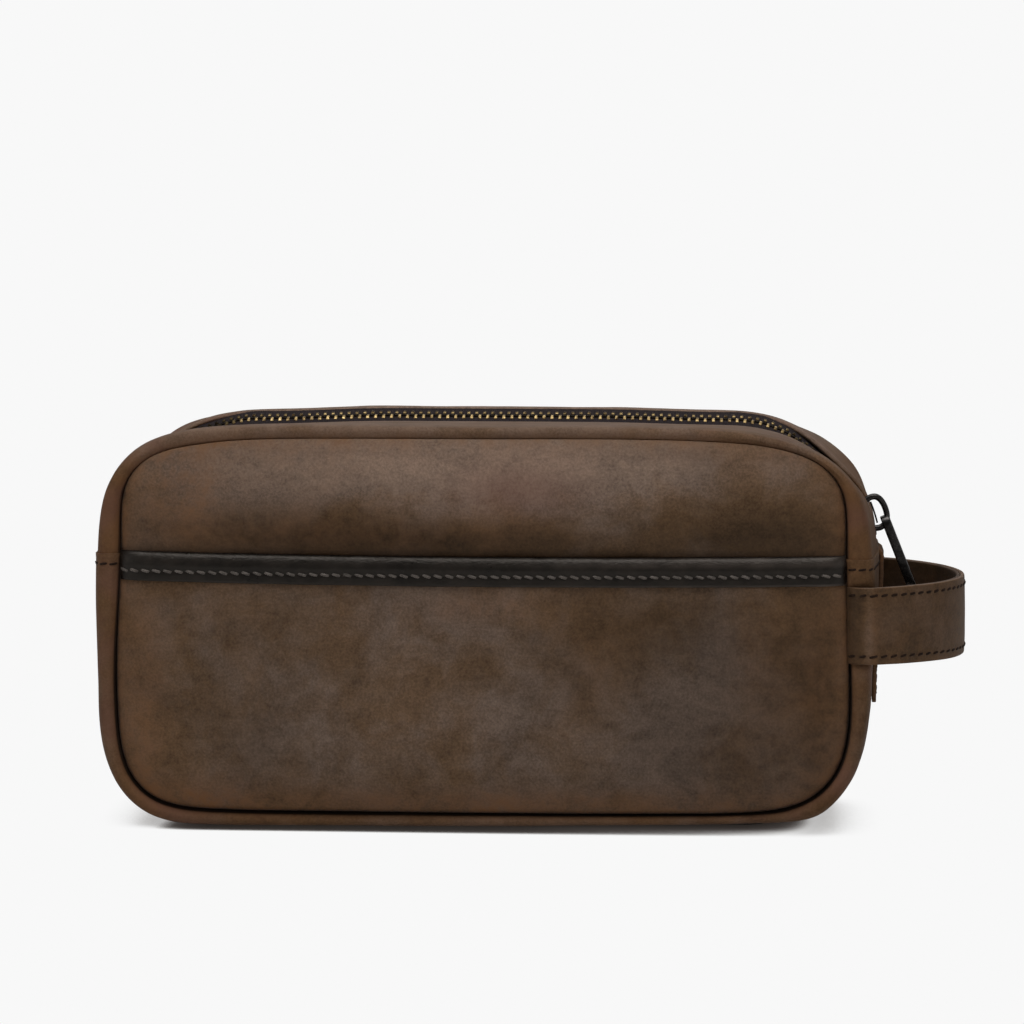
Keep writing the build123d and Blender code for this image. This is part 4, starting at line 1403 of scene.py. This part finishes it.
def binding():
    out, up = BINDING.T
    count, around = len(BINDING_X), len(BINDING)
    x = np.repeat(BINDING_X[:, None], around, 1)
    sag = 1.5 * (1 - (x / 127.0) ** 2) * 0.85
    z = TRIM_TOP + 0.15 - sag + up
    gap = np.maximum(seam_distance(BINDING_X, np.full(count, 93.0)), 0)[:, None]
    y = 0.35 * pocket_y(x, np.full(x.shape, 94.0), gap) + 0.65 * pocket_y(x, z, gap) - out
    y = y + sample_grid(pocket_field, x, np.minimum(z, 93)) * 0.5
    points = np.stack([x, y, z], -1).reshape(-1, 3)
    points[:, 1] += 0.07 * fbm(points, size=16, octaves=2, seed=2.2)
    # lighter along its lower edge, and a painted highlight along its outer top
    outer_top = (up > -3.2) & (up < -0.3) & (out > 0.3)
    warm = np.tile(np.where(up < -9.9, 1.0, np.where(outer_top, 0.55, 0.0)), count)
    warm = warm * (0.75 + 0.5 * fbm(points, size=7, octaves=2, seed=5.5))
    # how strongly both show along the binding; the painted highlight is strongest toward the right
    across = np.interp(BINDING_X, [-127, -90, -20, 60, 126], [0.10, 0.35, 0.15, 1.1, 1.5])
    obj = make_mesh("pocket_trim_leather", points, tube_faces(count, around), BLACK,
                    attrs={"warm": warm * np.repeat(across, around)})
    register(obj, "black_leather", "pocket_trim", ride="bag")
    return obj


def stitch_rows(name, places, length, radius, material, tilt, lift, sink=0.15):
    """Stitches, each a plump thread arc that dips into the leather at both ends.

    places: (point, along, out); tilt in degrees, lift in thread radii.
    """
    points, faces = [], []
    rings, around = 9, 8
    stitch_faces = tube_faces(rings, around)
    for index, (point, along, out) in enumerate(places):
        along = along / np.linalg.norm(along)
        out = out - along * np.dot(out, along)
        out = out / np.linalg.norm(out)
        jitter = math.sin(index * 12.9898) * 0.5
        angle = math.radians(tilt + 5 * jitter)
        thread = along * math.cos(angle) + np.cross(out, along) * math.sin(angle)
        side = np.cross(out, thread)
        for i in range(rings):
            t = -1 + 2 * i / (rings - 1)
            rise = radius * (lift - 1.3 * t ** 4) - sink * abs(t) ** 3
            centre = point + thread * (t * length / 2) + out * rise
            thick = radius * (1 - 0.22 * t * t)
            for k in range(around):
                turn = 2 * math.pi * k / around
                points.append(centre + side * (thick * math.cos(turn))
                              + out * (thick * 0.85 * math.sin(turn)))
        first = index * rings * around
        faces += [[first + k for k in face] for face in stitch_faces]
    return make_mesh(name, points, faces, material)


def binding_stitches(trim):
    line = coords(trim.data).reshape(len(BINDING_X), len(BINDING), 3)[:, BINDING_GROOVE]
    lengths = arc_length(line)
    places = []
    for at in np.arange(2.2, lengths[-1] - 1.5, 3.95):
        here, after = point_at(line, lengths, at), point_at(line, lengths, at + 1)
        places.append((here + 0.05 * Y_AXIS, after - here, -Y_AXIS))
    obj = stitch_rows("pocket_trim_stitches", places, length=3.75, radius=0.56,
                      material=THREAD_GREY, tilt=-17, lift=0.42)
    register(obj, "grey_thread", "pocket_trim_thread", ride="bag")


binding_stitches(binding())

# ---- hem stitches and the tab over the zip's lower end


def hem_stitches():
    """A row below the hem on both sides, read off the base gusset's own surface."""
    level = HEM_Z - 4.3
    places = []
    for side in (-1, 1):
        strip = (base_grid if side > 0 else base_grid[::-1])[:14]
        row = np.array([[np.interp(-level, -strip[:, j, 2], strip[:, j, k]) for k in range(3)]
                        for j in range(14, strip.shape[1] - 14)])
        lengths = arc_length(row)
        for at in np.arange(1.6, lengths[-1] - 1.0, 3.85):
            here, after, before = (point_at(row, lengths, v) for v in (at, at + 0.7, at - 0.7))
            if side > 0 and abs(here[1]) < 13.5:        # left free for the tab
                continue
            out = np.cross(after - before, Z_AXIS)
            facing = out[0] * side
            if abs(here[1]) >= 40:
                facing += out[1] * np.sign(here[1])
            places.append((here, after - before, out * np.sign(facing)))
    obj = stitch_rows("hem_stitches", places, length=3.2, radius=0.42, material=THREAD_BROWN,
                      tilt=8, lift=0.05)
    register(obj, "brown_thread", "hem_thread", ride="bag")


TAB_HALF = 12
TAB_FOLD = [(0.25, 0.9), (-0.1, 1.9), (-0.9, 2.5), (-1.9, 2.6), (-2.7, 2.2)]    # (out, up)


def from_right(tree, y, z):
    return ray_hit(tree, (200, y, z), (-1, 0, 0))


def zip_end_tab():
    """Lies on the gusset's right side; its top rolls over the hem and tucks behind it."""
    tree = surface_tree(base)
    heights = np.linspace(TAB_LOW + 1.4, TAB_TOP - 4.3, 46)
    widths = np.linspace(-TAB_HALF, TAB_HALF, 25)
    rows = len(heights)
    grid = np.zeros((rows + len(TAB_FOLD), len(widths), 3))
    for i, z in enumerate(heights):
        for j, y in enumerate(widths):
            hit = from_right(tree, y, min(z, HEM_Z - 1.2))
            grid[i, j] = (hit[0][0] if hit else 137.0, y, z)
        grid[i, :, 0] = np.maximum(grid[i, :, 0], grid[i, :, 0].mean())
    for k, (out, up) in enumerate(TAB_FOLD):
        grid[rows + k, :, 0] = grid[rows - 1, :, 0] + out
        grid[rows + k, :, 1] = widths
        grid[rows + k, :, 2] = heights[-1] + up
    grid[..., 0] += 0.15 + 0.35 * np.exp(-(grid[..., 2] - TAB_LOW) / 9.0)
    # narrower toward the lower corners
    grid[..., 1] *= 1 - 0.10 * smoothstep(TAB_LOW + 6, TAB_LOW, grid[..., 2]) ** 2
    points = grid.reshape(-1, 3)
    points[:, 0] += 0.15 * fbm(points, size=12, octaves=2, seed=4.4)
    z = points[:, 2]
    edge = np.minimum(TAB_HALF - np.abs(points[:, 1]), z - TAB_LOW)
    warm = 0.25 + 0.8 * smoothstep(92, 97, z) + 0.5 * np.exp(-edge / 1.2)
    none = np.zeros(len(points))
    attrs = {"lum": none - 0.08, "warm": np.clip(warm, 0, 1.2), "dark": none, "red": none}
    obj = make_mesh("zip_end_tab_leather", points, grid_faces(*grid.shape[:2]), LEATHER,
                    attrs=attrs)
    if sum(face.normal[0] for face in obj.data.polygons) < 0:
        obj.data.flip_normals()
    thicken(obj, 1.5, bevel=0.35, offset=1.0)
    register(obj, "brown_leather", "zip_end_tab", ride="bag")
    return obj


def tab_stitches(tab):
    tree = surface_tree(tab)
    spots = [(y, z, Y_AXIS) for z in (TAB_TOP - 5.6, TAB_LOW + 4.6)
             for y in np.arange(-8.6, 8.7, 3.44)]
    spots += [(y, z, Z_AXIS) for y in (-9.8, 9.8)
              for z in np.arange(TAB_LOW + 6.6, TAB_TOP - 6.6, 3.9)]
    places = []
    for y, z, along in spots:
        hit = from_right(tree, y, z)
        if hit:
            places.append((hit[0], along, hit[1]))
    obj = stitch_rows("tab_stitches", places, length=3.0, radius=0.34, material=THREAD_BROWN,
                      tilt=8, lift=-0.12)
    register(obj, "brown_thread", "tab_thread", ride="bag")


hem_stitches()
tab_stitches(zip_end_tab())

# ---- carry loop

LOOP_HALF = [               # front half seen from above, (x, y)
    (125.9, -43.6), (126.9, -45.6), (128.9, -47.4), (132.0, -48.3), (136.5, -47.4),
    (141.0, -45.2), (147.0, -41.3), (154.6, -34.3), (162.0, -24.6), (LOOP_X - 1.4, -12.6),
    (LOOP_X + 0.1, 0.0)]
LOOP_ANCHORS = LOOP_HALF + [(x, -y) for x, y in reversed(LOOP_HALF[:-1])]
LOOP_LINE = resample(catmull(LOOP_ANCHORS, 14, closed=False), 190)
LOOP_TANGENT = unit(np.gradient(LOOP_LINE, axis=0))
LOOP_OUT = np.stack([LOOP_TANGENT[:, 1], -LOOP_TANGENT[:, 0]], 1)      # away from the bag
LOOP_AT = arc_length(LOOP_LINE)
LOOP_LENGTH = LOOP_AT[-1]
LOOP_SWELL = 0.045          # how much taller the strap is at its outer end


def loop_arch(at):
    """0 at the strap's ends, 1 at its middle."""
    return np.sin(at / LOOP_LENGTH * math.pi) ** 2


def loop_dip(at):
    """How low the strap hangs; its rear half sits higher than the front one."""
    return 0.35 * loop_arch(at) - 1.15 * smoothstep(0.45, 0.9, at / LOOP_LENGTH) + 0.35


def loop_layer(name, start, end, material, node_names, shorter=0.0):
    """One leather of the strap, from start to end mm in from its outer face."""
    width = end - start
    profile = rounded_rect(width, LOOP_TALL - shorter, radius=0.55, long_steps=18)
    count, around = len(LOOP_LINE), len(profile)
    centre = LOOP_LINE - LOOP_OUT * (start + width / 2)
    flat = centre[:, None] + LOOP_OUT[:, None] * profile[:, :1]
    heights = np.tile(LOOP_MID + profile[:, 1], (count, 1))
    points = np.dstack([flat, heights]).reshape(-1, 3)
    # soft crease beside each root, slight cupping and unevenness
    at = np.repeat(LOOP_AT, around)
    root_gap = np.minimum(at, LOOP_LENGTH - at)
    dent = (-0.55 * hump(root_gap, 8.5, 1.5) + 0.35 * hump(root_gap, 12.0, 2.2)
            - 0.12 * hump(root_gap, 30, 4.0))
    from_mid = (points[:, 2] - LOOP_MID) / (LOOP_TALL / 2)
    cup = -0.35 * from_mid ** 2 * smoothstep(8, 30, root_gap)
    uneven = 0.14 * fbm(points, size=15, octaves=2, seed=8.8)
    points[:, :2] += np.repeat(LOOP_OUT, around, 0) * (dent + cup + uneven)[:, None]
    swell = 1 + LOOP_SWELL * loop_arch(at)
    points[:, 2] = LOOP_MID + (points[:, 2] - LOOP_MID) * swell - loop_dip(at)
    height = np.tile(np.abs(profile[:, 1]), count)
    edge = smoothstep(LOOP_TALL / 2 - 1.1, LOOP_TALL / 2 - 0.1, height)
    groove = hump(height, LOOP_TALL / 2 - 2.8, 0.55)
    on_top = profile[:, 1] > LOOP_TALL / 2 - shorter / 2 - 0.30
    top_edge = np.tile(on_top.astype(float), count)
    # painted light and shade: a highlight on the crease beside each root and shade at the root
    # itself, where dark also paints shade; darker along the stitch grooves and lighter along the
    # top edge
    lum = (-0.22 + 0.34 * hump(root_gap, 10.6, 2.0) - 0.26 * hump(root_gap, 4.6, 3.0)
           - 0.15 * groove + 0.55 * top_edge)
    warm = 0.20 + 0.35 * hump(root_gap, 12.5, 2.0) + 0.12 * edge
    dark = 0.75 * np.exp(-root_gap / 3.0) + 0.05 * edge * (1 - top_edge)
    attrs = {"lum": lum, "warm": np.clip(warm, 0, 1), "dark": np.clip(dark, 0, 1),
             "red": np.zeros(len(points))}
    obj = make_mesh(name, points, tube_faces(count, around), material, attrs=attrs)
    register(obj, "brown_leather", *node_names)
    return obj


def loop_stitches(strap):
    tree = surface_tree(strap)
    places = []
    for z in (LOOP_LOW + 2.8, LOOP_TOP - 2.8):
        for at in np.arange(4.0, LOOP_LENGTH - 3.0, 4.0):
            x, y = point_at(LOOP_LINE, LOOP_AT, at)
            along_x, along_y = point_at(LOOP_TANGENT, LOOP_AT, at)
            lift = (z - LOOP_MID) * LOOP_SWELL * loop_arch(at) - float(loop_dip(at))
            start = (x + along_y * 8, y - along_x * 8, z + lift)
            hit = ray_hit(tree, start, (-along_y, along_x, 0))
            if hit:
                places.append((hit[0], np.array([along_x, along_y, 0]), hit[1]))
    obj = stitch_rows("carry_loop_stitches", places, length=3.4, radius=0.46,
                      material=THREAD_BROWN, tilt=10, lift=0.0)
    register(obj, "brown_thread", "loop_thread")
    return obj


loop_outer = loop_layer("carry_loop_outer_leather", 0.0, 1.5, LEATHER,
                        ["loop_outer", "loop_tails"])
# the inner leather is painted in shade with the darker copy of the brown leather
loop_inner = loop_layer("carry_loop_inner_leather", 1.52, 2.9, SHADED_LEATHER, ["loop_inner"],
                        shorter=0.25)
loop_thread = loop_stitches(loop_outer)

# ---- lining

LINING_Y = 41.4             # depth of the flat linings
LINING_SIDE = 41.2          # where the gusset's lining ends


def lining_panel(name, z_low, z_high, side, node_name, ride=None):
    outline = level_outline(z_low, z_high, inset=4.2, count=300, gap_square=1.0)
    lattice = np.array([(x, z) for x in np.arange(-128, 129, 5.0)
                        for z in np.arange(z_low + 3 if z_low > 0 else 5, 140, 5.0)])
    x, z = lattice.T
    keep = (seam_distance(x, z) > 6.5) & (z > z_low + 1.5) & (z < z_high - 1.5)
    x, z, faces = fill_outline(outline, lattice[keep])
    points = np.stack([x, np.full(len(x), LINING_Y * side), z], 1)
    uneven = 0.5 * fbm(points, size=24, octaves=2, seed=1.7)
    points[:, 1] += uneven * smoothstep(4.2, 12, seam_distance(x, z))
    obj = make_mesh(name, points, faces, LINING)
    face_y(obj.data, obj.data.polygons[0], -side)
    thicken(obj, 0.5, offset=0)
    register(obj, "lining_cloth", node_name, ride=ride)
    return obj


def lining_gusset(name, samples, y_from, y_to, node_names=(), ride=None, sagging=False):
    depths = np.linspace(y_from, y_to, 30)
    sag = 4.4 * top_sag(MID[:, 0], MID[:, 1])
    rows = []
    for y in depths:
        share = smoothstep(41.5, 24, abs(y))
        outline = (SEAM - SEAM_OUT * 3.6) * (1 - share) + (MID - MID_OUT * 4.4) * share
        if sagging:
            outline = outline - (sag * share)[:, None] * MID_OUT
        rows.append(in_space(outline[samples], y))
    obj = make_mesh(name, np.stack(rows, 1).reshape(-1, 3),
                    grid_faces(len(samples), len(depths)), LINING)
    face_away(obj, away=False)
    thicken(obj, 0.5, offset=0)
    register(obj, "lining_cloth", *node_names, ride=ride)
    return obj


lining_upper = lining_panel("lining_front_upper_cloth", FOLD_Z - 4, 300, -1,
                            "lining_front_upper")
lining_panel("lining_front_lower_cloth", -10, FOLD_Z - 3.6, -1, "lining_front_lower", ride="bag")
lining_panel("lining_back_cloth", -10, 300, 1, "lining_back", ride="bag")
lining_gusset("lining_gusset_cloth", np.arange(HEM_R + 2, HEM_L - 1), -LINING_SIDE, LINING_SIDE,
              ["lining_gusset"], ride="bag")
mouth = np.concatenate([np.arange(HEM_L - 4, SAMPLES), np.arange(0, HEM_R + 5)])
lining_mouth = lining_gusset("lining_mouth_front_cloth", mouth, -LINING_SIDE, -11.5,
                             sagging=True)
lining_gusset("lining_mouth_rear_cloth", mouth, 11.5, LINING_SIDE, ride="bag")

# ---- what moves with what, in metres

for obj in (base, zip_rear, tape_rear, teeth_rear, pocket, back):
    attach(obj, "bag")
for obj in (front_upper, zip_front, tape_front, teeth_front, stop_front, lining_upper,
            lining_mouth):
    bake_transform(obj)
for obj in (loop_outer, loop_inner, loop_thread):
    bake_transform(obj)

# ---- floor, light and camera, in metres

PAPER = 0.939               # brightness of the floor and the surroundings in view
# painted shadow on the floor: (ambient occlusion, colour) where something stands close, and in the
# wider painted shadow under the bag
CONTACT_SHADOW_STOPS = [(0.0, (0.015, 0.012, 0.010)), (0.20, (0.08, 0.07, 0.065)),
               (0.36, (0.55, 0.54, 0.53)), (0.50, (1, 1, 1))]
POOL_SHADOW_STOPS = [(0.0, (0.015, 0.012, 0.010)), (0.14, (0.10, 0.09, 0.085)),
              (0.28, (0.50, 0.49, 0.48)), (0.46, (0.93, 0.93, 0.93)), (0.60, (1, 1, 1))]


def floor_material():
    """Seen by the camera it glows an even paper white with a shadow painted in under the bag."""
    mat = Shader("floor_white")
    mat.surface({"Base Color": (0.80, 0.80, 0.80, 1), "Roughness": 0.9,
                 "Specular IOR Level": 0.05})

    def near(distance, stops):
        occlusion = mat.node("AmbientOcclusion", samples=16)
        occlusion.inputs["Distance"].default_value = distance
        return mat.ramp(occlusion.outputs["AO"], stops)

    contact_shadow = near(0.007, CONTACT_SHADOW_STOPS)
    pool_shadow = near(0.036, POOL_SHADOW_STOPS)
    split = mat.node("SeparateXYZ")
    mat.feed(split.inputs[0], mat.node("NewGeometry").outputs["Position"])
    # the wider painted shadow lies only toward the bag's ends, behind its front
    ends = mat.remap(mat.math("ABSOLUTE", split.outputs[0]), span=(0.104, 0.122), to=(0, 1))
    behind = mat.remap(split.outputs[1], span=(-0.050, -0.036), to=(0, 1))
    pool_shadow = mat.mix(mat.mul(ends, behind, clamp=True), (1.0, 1.0, 1.0), pool_shadow)
    glow = mat.node("Emission")
    mat.feed(glow.inputs[0], mat.mix(1.0, contact_shadow, pool_shadow, "DARKEN"))
    glow.inputs[1].default_value = PAPER
    chooser = mat.node("MixShader")
    mat.feed(chooser.inputs[0], mat.node("LightPath").outputs["Is Camera Ray"])
    mat.feed(chooser.inputs[1], mat.bsdf.outputs[0])
    mat.feed(chooser.inputs[2], glow.outputs[0])
    mat.feed(mat.out.inputs[0], chooser.outputs[0])
    return mat.material


def stage_floor():
    """A flat floor that curves up into a wall behind."""
    half, front, flat_end, radius, wall_top = 4, -3, 1.2, 1.0, 4
    material = floor_material()
    points = [(-half, front, 0), (half, front, 0), (half, flat_end, 0), (-half, flat_end, 0)]
    faces = [(0, 1, 2, 3)]
    angles = [math.radians(90 * k / 12) for k in range(1, 13)]
    rise = [(flat_end + radius * math.sin(a), radius - radius * math.cos(a)) for a in angles]
    left, right = 3, 2
    for y, z in rise + [(flat_end + radius, wall_top)]:
        points += [(-half, y, z), (half, y, z)]
        count = len(points)
        faces.append((left, right, count - 1, count - 2))
        left, right = count - 2, count - 1
    mesh = bpy.data.meshes.new("floor")
    mesh.from_pydata(points, [], faces)
    obj = bpy.data.objects.new("floor", mesh)
    scene.collection.objects.link(obj)
    mesh.materials.append(material)
    shade(obj, True)
    obj.location.z = -0.0002


def studio_world():
    """Paper white to the camera, dim as a light."""
    world = bpy.data.worlds.new("studio")
    scene.world = world
    world.use_nodes = True
    tree = world.node_tree
    background = tree.nodes["Background"]
    rays = tree.nodes.new("ShaderNodeLightPath")
    strength = tree.nodes.new("ShaderNodeMix")
    strength.data_type = "FLOAT"
    tree.links.new(rays.outputs["Is Camera Ray"], strength.inputs[0])
    strength.inputs[2].default_value = 0.20
    strength.inputs[3].default_value = PAPER
    background.inputs[0].default_value = (1, 1, 1, 1)
    tree.links.new(strength.outputs[0], background.inputs[1])


def aim_at(direction):
    return direction.to_track_quat("-Z", "Y").to_euler()


def area_light(name, place, target, size, power):
    light = bpy.data.lights.new(name, "AREA")
    light.shape = "RECTANGLE"
    light.size, light.size_y = size
    light.energy = power
    obj = bpy.data.objects.new(name, light)
    scene.collection.objects.link(obj)
    obj.location = place
    obj.rotation_euler = aim_at(Vector(target) - Vector(place))


def add_camera():
    """In front of the bag, a little to its right and above."""
    camera = bpy.data.cameras.new("cam")
    obj = bpy.data.objects.new("cam", camera)
    scene.collection.objects.link(obj)
    turn, tilt, distance = math.radians(4.5), math.radians(5.3), 1.5
    target = Vector((0.0069, 0, 0.1085))
    view = Vector((-math.sin(turn) * math.cos(tilt), math.cos(turn) * math.cos(tilt),
                   -math.sin(tilt)))
    obj.location = target - view * distance
    obj.rotation_euler = aim_at(view)
    camera.sensor_width = 36.0
    camera.lens = 147.4453125
    camera.clip_start, camera.clip_end = 0.05, 20
    scene.camera = obj


stage_floor()
studio_world()
for light_name, place, target, size, power in (
        ("key_top", (-0.05, -0.42, 1.25), (0, -0.02, 0.09), (1.2, 0.7), 9.5),
        ("fill_left", (-1.4, -1.1, 0.6), (0, 0, 0.08), (1.0, 1.0), 2.2),
        ("fill_right", (1.5, -1.0, 0.6), (0, 0, 0.08), (1.0, 1.0), 2.0),
        ("rim_back", (0.2, 1.0, 1.1), (0, 0, 0.12), (1.2, 0.6), 3.0)):
    area_light(light_name, place, target, size, power)
add_camera()
scene.view_settings.view_transform = "Standard"
scene.view_settings.look = "None"
scene.view_settings.exposure = 0.0
scene.view_settings.gamma = 1.0
